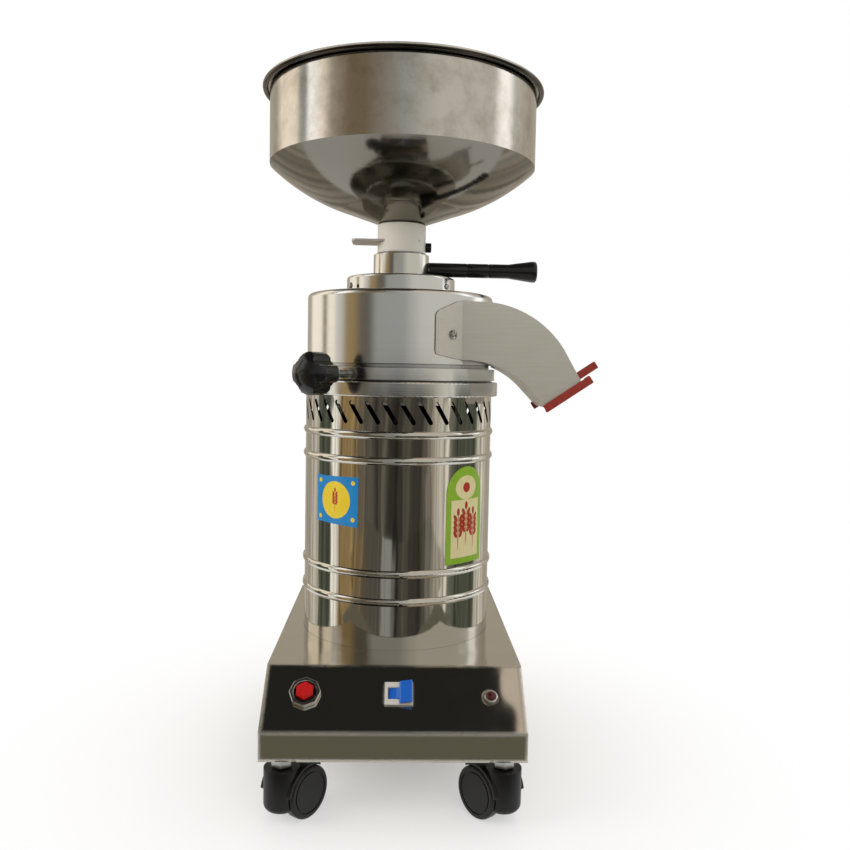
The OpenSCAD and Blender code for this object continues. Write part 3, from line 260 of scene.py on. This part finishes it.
card_cloth = bpy.data.materials.new("studio cards")
tree = empty_tree(card_cloth)
place = node(tree, "TexCoord")
lower, bearing, z = cards_by_bearing(tree, place.outputs["Object"], LOWER_ROW)
tone = in_folds(tree, lower, bearing)
for cards, edge in ((MIDDLE_ROW, LOW_EDGE), (UPPER_ROW, HIGH_EDGE)):
    row, _, _ = cards_by_bearing(tree, place.outputs["Object"], cards)
    height = ranged(tree, z, edge)
    tone = node(tree, "Mix", {"data_type": "RGBA"}, {0: height, 6: tone, 7: row}).outputs[2]
glowing(tree, CARD_GLOW, {"Color": tone})

corners = []
for step in range(RING_STEPS + 1):
    angle = math.tau * step / RING_STEPS - math.pi
    corners += [(RING_R * math.sin(angle), -RING_R * math.cos(angle), z) for z in (RING_LOW, RING_HIGH)]
faces = [(i, i + 2, i + 3, i + 1) for i in range(0, 2 * RING_STEPS, 2)]
stage_piece("card_ring", corners, faces, card_cloth).visible_camera = False
print(len(LOWER_ROW), len(MIDDLE_ROW), len(UPPER_ROW), "edges of cards on a ring", RING_R * 2, "m across")

# %% [markdown]
# ## Ceiling and floor cards
# The sloped panel looks almost black because it mirrors what is straight above it: a dark ceiling
# cloth, which ends on the right where a pale wall begins. The band under the panel mirrors the floor
# just in front, nearer than the picture's lower edge, where an umber card lies, and the foot of the
# casing mirrors a banded cloth beyond it. These two lie on the table, so they are there for reflections
# alone and put no shade on it.

# %% Cards above and in front
CLOTH_END, WALL_START = 0.345, 0.365
FLOOR_GLOW, CARD_LIFT = 1.25, 0.002

ceiling_cloth = bpy.data.materials.new("ceiling cloth")
tree = empty_tree(ceiling_cloth)
place = node(tree, "TexCoord")
axes = node(tree, "SeparateXYZ", {}, {"Vector": place.outputs["Object"]})
edge = ranged(tree, axes.outputs["X"], (CLOTH_END, WALL_START))
tone = two_tones(tree, edge, "#2a2a28", "#dccfc0")
glowing(tree, 1.0, {"Color": tone})

floor_cloth = bpy.data.materials.new("floor cloth")
tree = empty_tree(floor_cloth)
place = node(tree, "TexCoord")
floor_row, bearing, _ = cards_by_bearing(tree, place.outputs["Object"], FLOOR_ROW)
glowing(tree, FLOOR_GLOW, {"Color": in_folds(tree, floor_row, bearing)})

umber_card = bpy.data.materials.new("umber card")
tree = empty_tree(umber_card)
glowing(tree, 1.0, {}, {"Color": linear("#6d6a5b")})

for name, cloth, left, right, front, rear, z in (
    ("ceiling_card", ceiling_cloth, -1.5, 1.5, -1.5, 1.5, RING_HIGH),
    ("near_card", umber_card, -0.55, 0.55, -0.50, -0.27, CARD_LIFT),
    ("front_card", floor_cloth, -0.90, 0.90, -1.25, -0.50, CARD_LIFT),
):
    corners = [(left, front, z), (right, front, z), (right, rear, z), (left, rear, z)]
    card = stage_piece(name, corners, [(0, 1, 2, 3)], cloth)
    card.visible_camera = False
    card.visible_diffuse = card.visible_shadow = z > CARD_LIFT
    print(name, right - left, "by", round(rear - front, 2), "m")

# %% [markdown]
# ## Lamps
# The cards light the metal. Three large soft lamps light the painted and moulded pieces, from the left,
# from the front and from above, and throw the soft shadow on the table. They do not show in
# reflections, because the cards already say what the metal sees there.

# %% Soft lamps
AIM_HEIGHT = 0.35


def lamp(name, bearing_degrees, distance, height, size, watts, tint):
    """Adds a square area lamp that faces the mill from a bearing seen from the front."""
    light = bpy.data.lights.new(name, "AREA")
    light.size, light.energy, light.color = size, watts, linear(tint)[:3]
    angle = math.radians(bearing_degrees)
    made = bpy.data.objects.new(name, light)
    made.location = (distance * math.sin(angle), -distance * math.cos(angle), height)
    made.rotation_euler = (Vector((0, 0, AIM_HEIGHT)) - made.location).to_track_quat("-Z", "Y").to_euler()
    made.visible_glossy = False
    scene.collection.objects.link(made)
    print(name, watts, "W")


lamp("left lamp", -70, 1.5, 0.9, 1.0, 10, "#fffcf6")
lamp("front lamp", 12, 1.4, 1.3, 1.2, 9, "#fffdf9")
lamp("top lamp", 180, 0.5, 1.8, 1.4, 12, "#ffffff")

# %% [markdown]
# ## Starting a finish
# Every finish below starts the same way: a material with one principled shader, and the place on the
# part as its texture coordinate. The solids' own coordinates are in metres in the mill's frame, so a
# pattern of a known size in millimetres is scaled by how many of it fit in a metre. Some finishes paint
# shade into grooves and corners, darker the less of the open a spot can see. The finish is
# then laid on the nodes that wear it, and a small bevel rounds their edges, because real edges are
# never sharp and their thin bright line is what makes metal look solid. The bevel is a modifier, so the
# solid itself stays as it is. The widest mirrors go without it, because it would also turn the light on
# the faces beside the edge.

# %% Finish helpers
WELD_GAP, EDGE_STEPS, SHARP_DEGREES = 1e-5, 3, 35


def per_metre(millimetres):
    """The texture scale at which one pattern repeat measures this many millimetres."""
    return 1000 / millimetres


def start_finish(name, settings):
    """Starts a material: returns it with its tree, its shader and its place in metres."""
    material = bpy.data.materials.new(name)
    tree = empty_tree(material)
    shader = node(tree, "BsdfPrincipled", settings)
    node(tree, "OutputMaterial", {}, {"Surface": shader.outputs["BSDF"]})
    place = node(tree, "TexCoord").outputs["Object"]
    return material, tree, shader, place


def noise(tree, place, millimetres, detail, roughness=0.5):
    """A cloudy pattern of this size in millimetres."""
    settings = {"Scale": per_metre(millimetres), "Detail": detail, "Roughness": roughness}
    return node(tree, "TexNoise", settings, {"Vector": place}).outputs["Fac"]


def bump(tree, height, strength, depth, under=None):
    """Turns the light as if a pattern stood this many metres high, on top of another normal if given."""
    links = {"Height": height} | ({} if under is None else {"Normal": under})
    return node(tree, "Bump", {"Strength": strength, "Distance": depth}, links).outputs["Normal"]


def about_axis(tree, place):
    """A spot's distance from the mill's upright axis, and its height."""
    axes = node(tree, "SeparateXYZ", {}, {"Vector": place})
    flat = node(tree, "CombineXYZ", {}, {"X": axes.outputs["X"], "Y": axes.outputs["Y"]})
    radius = node(tree, "VectorMath", {"operation": "LENGTH"}, {0: flat.outputs["Vector"]})
    return radius.outputs["Value"], axes.outputs["Z"]


def painted_crevice_shade(tree, reach):
    """Weights painted shade: one deep in a corner, with faces within so many millimetres, zero in the open.
    """
    open_sky = node(tree, "AmbientOcclusion", {"samples": 8, "Distance": reach / 1000})
    return ranged(tree, open_sky.outputs["AO"], (0.25, 0.75), (1.0, 0.0))


def dress(material, names, edge_mm=0.0):
    """Lays a finish on CAD nodes and rounds their edges for the eye."""
    for name in names:
        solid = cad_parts[name]
        solid.data.materials.clear()
        solid.data.materials.append(material)
        if edge_mm:
            weld = solid.modifiers.new("join split corners", "WELD")
            weld.merge_threshold = WELD_GAP
            bevel = solid.modifiers.new("worn edge", "BEVEL")
            bevel.width = edge_mm / 1000
            bevel.segments = EDGE_STEPS
            bevel.limit_method = "ANGLE"
            bevel.angle_limit = math.radians(SHARP_DEGREES)
            bevel.harden_normals = False
    print(material.name, "on", ", ".join(names))


# %% [markdown]
# ## Mirror-polished casing
# The motor casing is thin stainless sheet, rolled into a tube and buffed until it mirrors the room.
# Rolled sheet is never quite round: it has flats and waves of a few tenths of a millimetre that run
# the whole height, and they break the reflections into upright bands. Both they and the faint streaks
# from buffing could be modelled, but a bump this shallow only turns the reflection, so it belongs in
# the shader. A noise stretched along the axis draws the bands, and a patchy roughness leaves the wiped
# look of a polished surface. The cut walls of the vents and the inside were never polished, so they are
# rough, and all that lies under the outer skin is painted dark as shade.

# %% Mirror steel
CASING_R = 0.0984
SKIN_UNDER, SKIN_OUT = CASING_R - 0.0004, CASING_R - 0.0002
ROLL_WAVE, BUFF_STREAK, SMUDGE = 22, 1.6, 24
HANDLED, MIRROR_HAZE = (0.35, 0.75), (0.035, 0.09)

mirror_steel, tree, shader, place = start_finish("mirror polished stainless", {"Metallic": 1.0})
radius, _ = about_axis(tree, place)
skin = ranged(tree, radius, (SKIN_UNDER, SKIN_OUT))
# painted shade: the vents' walls and the inside, under the outer skin, are coloured dark
colour = two_tones(tree, skin, "#2b2926", "#ccc8c0")
upright = node(tree, "Mapping", {"Scale": (1, 1, 0.12)}, {"Vector": place})
wave = noise(tree, upright.outputs["Vector"], ROLL_WAVE, 2.0)
streak = noise(tree, upright.outputs["Vector"], BUFF_STREAK, 2.0)
smudge = noise(tree, place, SMUDGE, 4.0)
haze = ranged(tree, smudge, HANDLED, MIRROR_HAZE)
gloss = node(tree, "Mix", {2: 0.6}, {0: skin, 3: haze})
waved = bump(tree, wave, 1.0, 0.0006)
buffed = bump(tree, streak, 0.3, 0.00002, waved)
plug(tree, shader, {"Base Color": colour, "Roughness": gloss.outputs[0], "Normal": buffed})
dress(mirror_steel, ["motor_casing"])

# %% [markdown]
# ## Folded base
# The base is the same sheet, folded and buffed. The flat top is a little softer than the front under a
# film of flour dust, and it shows the casing's bands standing on their heads. The way a face points
# decides which gloss it gets. A fold has a radius of a few sheets, and the line of light along it
# matters more than its shape, so the shader's bevel rounds it. Wide soft waves turn the mirror a
# little, as oil-canning does on a real panel, and the corner round the casing's foot is painted
# dark as shade.

# %% Folded sheet
FOLD_R, PANEL_WAVE = 4.5, 60

folded_steel, tree, shader, place = start_finish("folded stainless sheet", {"Metallic": 1.0})
# painted shade: corners, such as round the casing's foot, are coloured dark
colour = two_tones(tree, painted_crevice_shade(tree, 2.5), "#cbc7be", "#3a3731")
facing = node(tree, "NewGeometry")
facing_axes = node(tree, "SeparateXYZ", {}, {"Vector": facing.outputs["Normal"]})
dusty = ranged(tree, facing_axes.outputs["Z"], (0.86, 0.97), (0.0, 0.06))
smudge = noise(tree, place, SMUDGE, 4.0)
bright = ranged(tree, smudge, HANDLED, MIRROR_HAZE)
haze = node(tree, "Math", {"operation": "ADD"}, {0: bright, 1: dusty})
fold = node(tree, "Bevel", {"samples": 6, "Radius": FOLD_R / 1000})
wave = noise(tree, place, PANEL_WAVE, 1.0)
waved = bump(tree, wave, 1.0, 0.0012, fold.outputs["Normal"])
plug(tree, shader, {"Base Color": colour, "Roughness": haze.outputs["Value"], "Normal": waved})
dress(folded_steel, ["base_shell", "base_tray"])

# %% [markdown]
# ## Spun stainless hopper
# The hopper is a buffed wall welded round a spun bowl that narrows to its spout. The wall is bright but
# softer than the casing, because it was only brushed over after welding, and it is mottled where it was
# handled. Its rolled rim has a painted highlight on top, where it is made less metallic so that the
# lamps light it, and painted shade underneath, a dark brown band. The bowl's colour is painted darker
# than the wall's, as painted shade. The spinning tool burnished it against the former, and left rings
# about the axis that bend its reflections a little. Rings are drawn from the distance to the axis, so
# they follow the bowl wherever it goes.

# %% Hopper steel
TOOL_RING, WALL_WAVE, MOTTLE = 3.0, 60, 30
RIM_LOW, RIM_MID = cad_high.z - 0.0060, cad_high.z - 0.0030
SHADE_BAND_EDGE, HIGHLIGHT_BAND_EDGE = 0.0004, 0.001

wall_steel, tree, shader, place = start_finish("brushed hopper wall", {})
axes = node(tree, "SeparateXYZ", {}, {"Vector": place})
# painted shade: a dark brown band on the underside of the rim
under = ranged(tree, axes.outputs["Z"], (RIM_LOW, RIM_LOW + SHADE_BAND_EDGE))
over = ranged(tree, axes.outputs["Z"], (RIM_MID, RIM_MID + HIGHLIGHT_BAND_EDGE), (1.0, 0.0))
rim = node(tree, "Math", {"operation": "MULTIPLY"}, {0: under, 1: over})
# painted highlight: the rim's top is made less metallic, so that the lamps light it bright
painted_highlight_metal = ranged(tree, over, target=(0.3, 1.0))
mottle = noise(tree, place, MOTTLE, 6.0, 0.65)
patches = ranged(tree, mottle, (0.45, 0.68))
wall = two_tones(tree, patches, "#cfcac2", "#b6b0a6")
colour = node(tree, "Mix", {"data_type": "RGBA", 7: linear("#403b35")},
              {0: rim.outputs["Value"], 6: wall}).outputs[2]
upright = node(tree, "Mapping", {"Scale": (1, 1, 0.1)}, {"Vector": place})
wave = noise(tree, upright.outputs["Vector"], WALL_WAVE, 2.0)
smudge = noise(tree, place, SMUDGE, 4.0)
haze = ranged(tree, smudge, (0.3, 0.7), (0.09, 0.17))
waved = bump(tree, wave, 1.0, 0.0008)
plug(tree, shader, {"Base Color": colour, "Roughness": haze, "Normal": waved, "Metallic": painted_highlight_metal})
dress(wall_steel, ["hopper_wall"])

# painted shade: the bowl's base colour is darker than the wall's
cone_steel, tree, shader, place = start_finish(
    "burnished spun cone", {"Base Color": linear("#827e75"), "Metallic": 1.0})
radius, z = about_axis(tree, place)
rings = node(tree, "CombineXYZ", {}, {"X": radius, "Y": z})
marks = noise(tree, rings.outputs["Vector"], TOOL_RING, 2.0)
haze = ranged(tree, marks, target=(0.07, 0.16))
ringed = bump(tree, marks, 0.4, 0.00006)
plug(tree, shader, {"Roughness": haze, "Normal": ringed})
dress(cone_steel, ["hopper_cone"])

# %% [markdown]
# ## Turned aluminium
# The grinding chamber, its collar and the flange on the casing are aluminium castings that were
# finished on a lathe. The tool leaves rings about the axis, half a millimetre apart, and light slides
# along them, so a highlight stretches across the rings into a fan. The shader's anisotropy with a
# tangent that runs round the axis gives the stretched highlight, and a ring pattern gives the lines.
# They are drawn at twice their real spacing, because the true one is finer than the picture can show.
# The shader rounds the edges here, because a modifier would also turn the light on the wide faces
# beside them. Grooves and corners are painted dark as shade.

# %% Turned aluminium
TURNING_RING, TURNED_EDGE = 1.0, 0.6

turned_aluminium, tree, shader, place = start_finish(
    "lathe-turned aluminium", {"Metallic": 1.0, "Anisotropic": 0.4})
# painted shade: the ring groove and other corners are coloured dark
colour = two_tones(tree, painted_crevice_shade(tree, 5), "#d9d8d5", "#24211c")
radius, z = about_axis(tree, place)
rings = node(tree, "CombineXYZ", {}, {"X": radius, "Y": z})
lines = noise(tree, rings.outputs["Vector"], TURNING_RING, 3.0)
haze = ranged(tree, lines, target=(0.11, 0.2))
rounded = node(tree, "Bevel", {"samples": 4, "Radius": TURNED_EDGE / 1000})
cut = bump(tree, lines, 0.12, 0.00008, rounded.outputs["Normal"])
round_axis = node(tree, "Tangent", {"direction_type": "RADIAL", "axis": "Z"})
plug(tree, shader, {"Roughness": haze, "Normal": cut, "Tangent": round_axis.outputs["Tangent"],
                    "Base Color": colour})
dress(turned_aluminium, ["chamber_shell", "casing_flange", "head_collar", "stone_carrier", "runner_holder",
                         "lower_shield", "upper_shield"])

# %% [markdown]
# ## Satin steel
# The chute is bent from sheet with a plain mill finish, and the feed gate is a strip of the same.
# Rolling gives it a soft, slightly warm sheen with no clear reflection, streaked along the sheet. A
# higher roughness with a long thin noise is enough.

# %% Satin sheet
ROLL_STREAK = 2.0

satin_steel, tree, shader, place = start_finish("mill-finish steel sheet", {"Metallic": 0.5})
along_x = node(tree, "Mapping", {"Scale": (0.06, 1, 1)}, {"Vector": place})
streak = noise(tree, along_x.outputs["Vector"], ROLL_STREAK, 4.0)
colour = two_tones(tree, streak, "#c2beb4", "#d2cfc7")
haze = ranged(tree, streak, target=(0.3, 0.48))
rolled = bump(tree, streak, 0.06, 0.00005)
plug(tree, shader, {"Base Color": colour, "Roughness": haze, "Normal": rolled})
dress(satin_steel, ["chute", "feed_gate"])

# %% [markdown]
# ## Bright and plated steel
# The adjuster sleeve is turned steel, polished and plated. The nuts, screws, rods and castor stems are
# zinc-plated, which is duller, a little blue and cloudy. The reset button's nut and the lamp's bezel
# are nickel. They are three settings of one idea: the brighter the plating, the lower the roughness.

# %% Plated steels
CLOUD = 6

polished_sleeve, tree, shader, place = start_finish(
    "polished plated steel", {"Base Color": linear("#d6d3cc"), "Metallic": 1.0})
cloud = noise(tree, place, CLOUD, 3.0)
haze = ranged(tree, cloud, target=(0.06, 0.15))
plug(tree, shader, {"Roughness": haze})
dress(polished_sleeve, ["adjuster_sleeve", "motor_shaft", "handle_rod"])

zinc_steel, tree, shader, place = start_finish("zinc-plated steel", {"Metallic": 1.0})
cloud = noise(tree, place, CLOUD, 4.0)
colour = two_tones(tree, cloud, "#a9aaa8", "#c9cac6")
haze = ranged(tree, cloud, target=(0.22, 0.4))
plug(tree, shader, {"Base Color": colour, "Roughness": haze})
dress(zinc_steel, ["tray_screws", "tie_rods", "rod_spacers", "ball_bearings", "runner_nut", "collar_screws",
                   "chute_screws", "clamp_nut", "clamp_stud", "castor_stems"], edge_mm=0.25)

nickel, tree, shader, place = start_finish(
    "satin nickel plate", {"Base Color": linear("#dfdedb"), "Metallic": 1.0})
cloud = noise(tree, place, CLOUD, 2.0)
haze = ranged(tree, cloud, target=(0.16, 0.28))
plug(tree, shader, {"Roughness": haze})
dress(nickel, ["breaker_nut", "lamp_bezel"], edge_mm=0.7)

# %% [markdown]
# ## Black plastics
# The knob and the handle grip are moulded phenolic, black and half glossy. The castors are nylon, a
# shade darker, with a duller skin from the mould and dust in it. Black plastic shows its form only by
# gloss, so roughness carries the detail and the colour hardly moves.

# %% Black mouldings
MOULD_GRAIN, DUST = 1.2, 14

black_plastic, tree, shader, place = start_finish(
    "black phenolic moulding", {"Base Color": linear("#131314"), "IOR": 1.5})
grain = noise(tree, place, MOULD_GRAIN, 3.0)
haze = ranged(tree, grain, target=(0.14, 0.26))
skin = bump(tree, grain, 0.05, 0.0001)
plug(tree, shader, {"Roughness": haze, "Normal": skin})
dress(black_plastic, ["clamp_knob", "handle_grip", "neck_lock_screw", "cable_gland", "breaker_body",
                      "cooling_fan"], edge_mm=0.6)

castor_nylon, tree, shader, place = start_finish(
    "black castor nylon", {"IOR": 1.52, "Specular IOR Level": 0.3})
dust = noise(tree, place, DUST, 5.0)
grain = noise(tree, place, MOULD_GRAIN, 2.0)
colour = two_tones(tree, dust, "#080809", "#121211")
haze = ranged(tree, grain, target=(0.3, 0.5))
skin = bump(tree, grain, 0.06, 0.0001)
plug(tree, shader, {"Base Color": colour, "Roughness": haze, "Normal": skin})
castors = [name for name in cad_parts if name.startswith(("castor_hood", "wheel_"))]
dress(castor_nylon, sorted(castors), edge_mm=0.8)

# %% [markdown]
# ## White nylon neck
# The feed neck is turned from a white nylon bar. Nylon lets a little light in, which softens its
# shadows and warms them, so the shader gets some subsurface scattering a few millimetres deep. The
# lathe leaves rings here too, but soft ones.

# %% Nylon
white_nylon, tree, shader, place = start_finish(
    "white nylon", {"Base Color": linear("#f1eee6"), "IOR": 1.53, "Subsurface Weight": 0.35,
                    "Subsurface Radius": (0.6, 0.5, 0.4), "Subsurface Scale": 0.006})
axes = node(tree, "SeparateXYZ", {}, {"Vector": place})
height = node(tree, "CombineXYZ", {}, {"Z": axes.outputs["Z"]})
lines = noise(tree, height.outputs["Vector"], TURNING_RING, 2.0)
haze = ranged(tree, lines, target=(0.32, 0.46))
cut = bump(tree, lines, 0.06, 0.0001)
plug(tree, shader, {"Roughness": haze, "Normal": cut})
dress(white_nylon, ["feed_neck"], edge_mm=0.6)

# %% [markdown]
# ## Red rubber lips
# The chute's mouth wears two strips of red rubber that keep a flour bag from slipping off. Old rubber
# is dull, a bit uneven in colour, and paler where hands rub it.

# %% Rubber
RUB = 5

red_rubber, tree, shader, place = start_finish("red rubber", {"IOR": 1.5})
rub = noise(tree, place, RUB, 5.0)
colour = two_tones(tree, rub, "#7c241d", "#a93a2e")
haze = ranged(tree, rub, target=(0.45, 0.65))
skin = bump(tree, rub, 0.1, 0.0002)
plug(tree, shader, {"Base Color": colour, "Roughness": haze, "Normal": skin})
dress(red_rubber, ["outlet_trim_front", "outlet_trim_back"], edge_mm=0.8)

# %% [markdown]
# ## The controls
# Three controls sit on the panel: a red reset button, a blue rocker switch in a grey frame, and a red
# lamp. They are glossy moulded plastics, dyed all through. The lamp's lens lets light in and looks deep
# and dark when it is off.

# %% Control plastics
for name, colour, gloss, extra, nodes in (
    ("red polycarbonate cap", "#c01f20", 0.22, {}, ["reset_button"]),
    ("blue polycarbonate rocker", "#1f63c8", 0.25, {}, ["rocker"]),
    ("pale grey polyamide frame", "#cfcec8", 0.35, {}, ["rocker_frame"]),
    ("grey polyamide", "#b9b6ab", 0.45, {}, ["capacitor"]),
    ("red lamp lens", "#4c0b10", 0.12, {"Transmission Weight": 0.25}, ["lamp_lens"]),
):
    plastic, tree, shader, place = start_finish(name, {"Base Color": linear(colour), "IOR": 1.55} | extra)
    grain = noise(tree, place, MOULD_GRAIN, 2.0)
    haze = ranged(tree, grain, target=(gloss - 0.06, gloss + 0.06))
    plug(tree, shader, {"Roughness": haze})
    dress(plastic, nodes, edge_mm=0.3)

# %% [markdown]
# ## Two printed labels
# Two vinyl labels are stuck on the casing: a blue one on the left and a green arch on the right. Their
# print is kept generic, with ears of grain in place of any wording. A label is a flat drawing in
# millimetres that is wrapped round the casing, so each shape is filled with rings of its own outline:
# the small steps between them let it bend. Every ink lies a few hundredths of a millimetre above the
# one below.

# %% Drawing on the casing
STICK, INK_STEP = 0.00020, 0.00005
FILL_RINGS, SIDE_STEP = 8, 3.0


def oval(across, up, half_w, half_h, turn=0.0):
    """An ellipse in millimetres, turned by degrees."""
    c, s = math.cos(math.radians(turn)), math.sin(math.radians(turn))
    steps = [math.radians(10 * i) for i in range(36)]
    return [(across + half_w * math.cos(t) * c - half_h * math.sin(t) * s,
             up + half_w * math.cos(t) * s + half_h * math.sin(t) * c) for t in steps]


def sides(corners):
    """A closed outline in millimetres, its straight sides cut into short steps."""
    points = []
    for first, second in zip(corners, corners[1:] + corners[:1]):
        steps = max(1, math.ceil(math.dist(first, second) / SIDE_STEP))
        points += [tuple(a + (b - a) * i / steps for a, b in zip(first, second)) for i in range(steps)]
    return points


def ear(across, up, tall):
    """An ear of grain: a stalk, pairs of leaning grains and one at the tip."""
    grain = tall / 6
    shapes = [oval(across, up + tall / 2, tall / 70, tall / 2)]
    for row in range(4):
        for side in (-1, 1):
            shapes.append(oval(across + side * grain * 0.55, up + tall * (0.42 + 0.14 * row),
                               grain * 0.3, grain * 0.62, -side * 28))
    return shapes + [oval(across, up + tall, grain * 0.3, grain * 0.62)]


def label(name, bearing, height, layers):
    """Wraps a drawing round the casing; layers are (material, outlines) from the ground up."""
    corners, faces, inks = [], [], []
    for layer, (_, outlines) in enumerate(layers):
        reach = CASING_R + STICK + layer * INK_STEP
        for outline in outlines:
            middle = [sum(p[axis] for p in outline) / len(outline) for axis in (0, 1)]
            start, count = len(corners), len(outline)
            for ring in range(FILL_RINGS + 1):
                for p in outline:
                    across, up = (m + (v - m) * ring / FILL_RINGS for m, v in zip(middle, p))
                    angle = math.radians(bearing) + across / 1000 / CASING_R
                    corners.append((reach * math.sin(angle), -reach * math.cos(angle), height + up / 1000))
            for ring in range(FILL_RINGS):
                for i in range(count):
                    a, b = start + ring * count + i, start + ring * count + (i + 1) % count
                    faces.append((a, a + count, b + count, b))
                    inks.append(layer)
    mesh = bpy.data.meshes.new(name)
    mesh.from_pydata(corners, [], faces)
    for ink, _ in layers:
        mesh.materials.append(ink)
    mesh.polygons.foreach_set("material_index", inks)
    made = bpy.data.objects.new(name, mesh)
    scene.collection.objects.link(made)
    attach(made, "stand")
    print(name, len(faces), "faces in", len(layers), "inks")


# %% Inks and labels
FADE = 12

inks = {}
for name, fresh, faded in (
    ("blue", "#1377c2", "#2b92d6"), ("yellow", "#e8c714", "#f2d94a"), ("green", "#7fae1f", "#98c03c"),
    ("cream", "#dfd398", "#ece3b4"), ("red", "#a32a1b", "#bb4432"),
):
    inks[name], tree, shader, place = start_finish(name + " vinyl print", {"IOR": 1.5})
    worn = noise(tree, place, FADE, 5.0)
    colour = two_tones(tree, worn, fresh, faded)
    haze = ranged(tree, worn, target=(0.22, 0.42))
    plug(tree, shader, {"Base Color": colour, "Roughness": haze})

label("label_left", bearing=-38.7, height=0.272, layers=[
    (inks["blue"], [sides([(-27, -23), (27, -25), (27.5, 24), (-27.5, 23)])]),
    (inks["yellow"], [oval(0, 0, 18.5, 18.5)]
     + [oval(x, y, 2.2, 2.2) for x in (-21.5, 21.5) for y in (-18, 18)]),
    (inks["red"], ear(0, -12, 22)),
])
arch = [(26 * math.cos(math.radians(a)), 22 + 27 * math.sin(math.radians(a))) for a in range(0, 181, 10)]
label("label_right", bearing=44.2, height=0.2575, layers=[
    (inks["green"], [sides([(-26, -48), (26, -48)] + arch)]),
    (inks["cream"], [sides([(-20, -42), (20, -42), (20, 16), (-20, 16)]), oval(0, 28, 15, 12)]),
    (inks["red"], ear(-11, -34, 38) + ear(0, -30, 40) + ear(11, -34, 38) + [oval(0, 28, 5, 5)]),
])

# %% [markdown]
# ## What is inside
# Nobody sees the stones and the motor until the mill is opened, but they are dressed too: pitted emery
# stones, stacked core sheets and lacquered copper.

# %% Stones, core and windings
GRIT = 2.2

millstone, tree, shader, place = start_finish("emery millstone", {"Roughness": 0.9})
grit = node(tree, "TexVoronoi", {"Scale": per_metre(GRIT)}, {"Vector": place})
patch = noise(tree, place, GRIT * 4, 6.0)
colour = two_tones(tree, patch, "#8b8376", "#cfc7b6")
pits = bump(tree, grit.outputs["Distance"], 0.6, 0.0008)
plug(tree, shader, {"Base Color": colour, "Normal": pits})
dress(millstone, ["bed_stone", "runner_stone"], edge_mm=0.6)

SHEET_STACK = 1.0
core_steel, tree, shader, place = start_finish(
    "stacked core sheet", {"Base Color": linear("#55565a"), "Metallic": 1.0, "Roughness": 0.45})
axes = node(tree, "SeparateXYZ", {}, {"Vector": place})
stack = node(tree, "CombineXYZ", {}, {"Z": axes.outputs["Z"]})
sheets = node(tree, "TexWave", {"bands_direction": "Z", "Scale": per_metre(SHEET_STACK) / 20},
              {"Vector": stack.outputs["Vector"]})
edges = bump(tree, sheets.outputs["Fac"], 0.3, 0.0002)
plug(tree, shader, {"Normal": edges})
dress(core_steel, ["stator_core", "rotor_core"], edge_mm=0.3)

WIRE = 1.6
copper, tree, shader, place = start_finish(
    "lacquered copper wire", {"Metallic": 1.0, "Base Color": linear("#b4643a"), "Roughness": 0.3})
radius, z = about_axis(tree, place)
turns = node(tree, "CombineXYZ", {}, {"X": radius, "Z": z})
wires = node(tree, "TexVoronoi", {"Scale": per_metre(WIRE)}, {"Vector": turns.outputs["Vector"]})
round_wires = bump(tree, wires.outputs["Distance"], 0.5, 0.0008)
plug(tree, shader, {"Normal": round_wires})
dress(copper, ["stator_windings"])
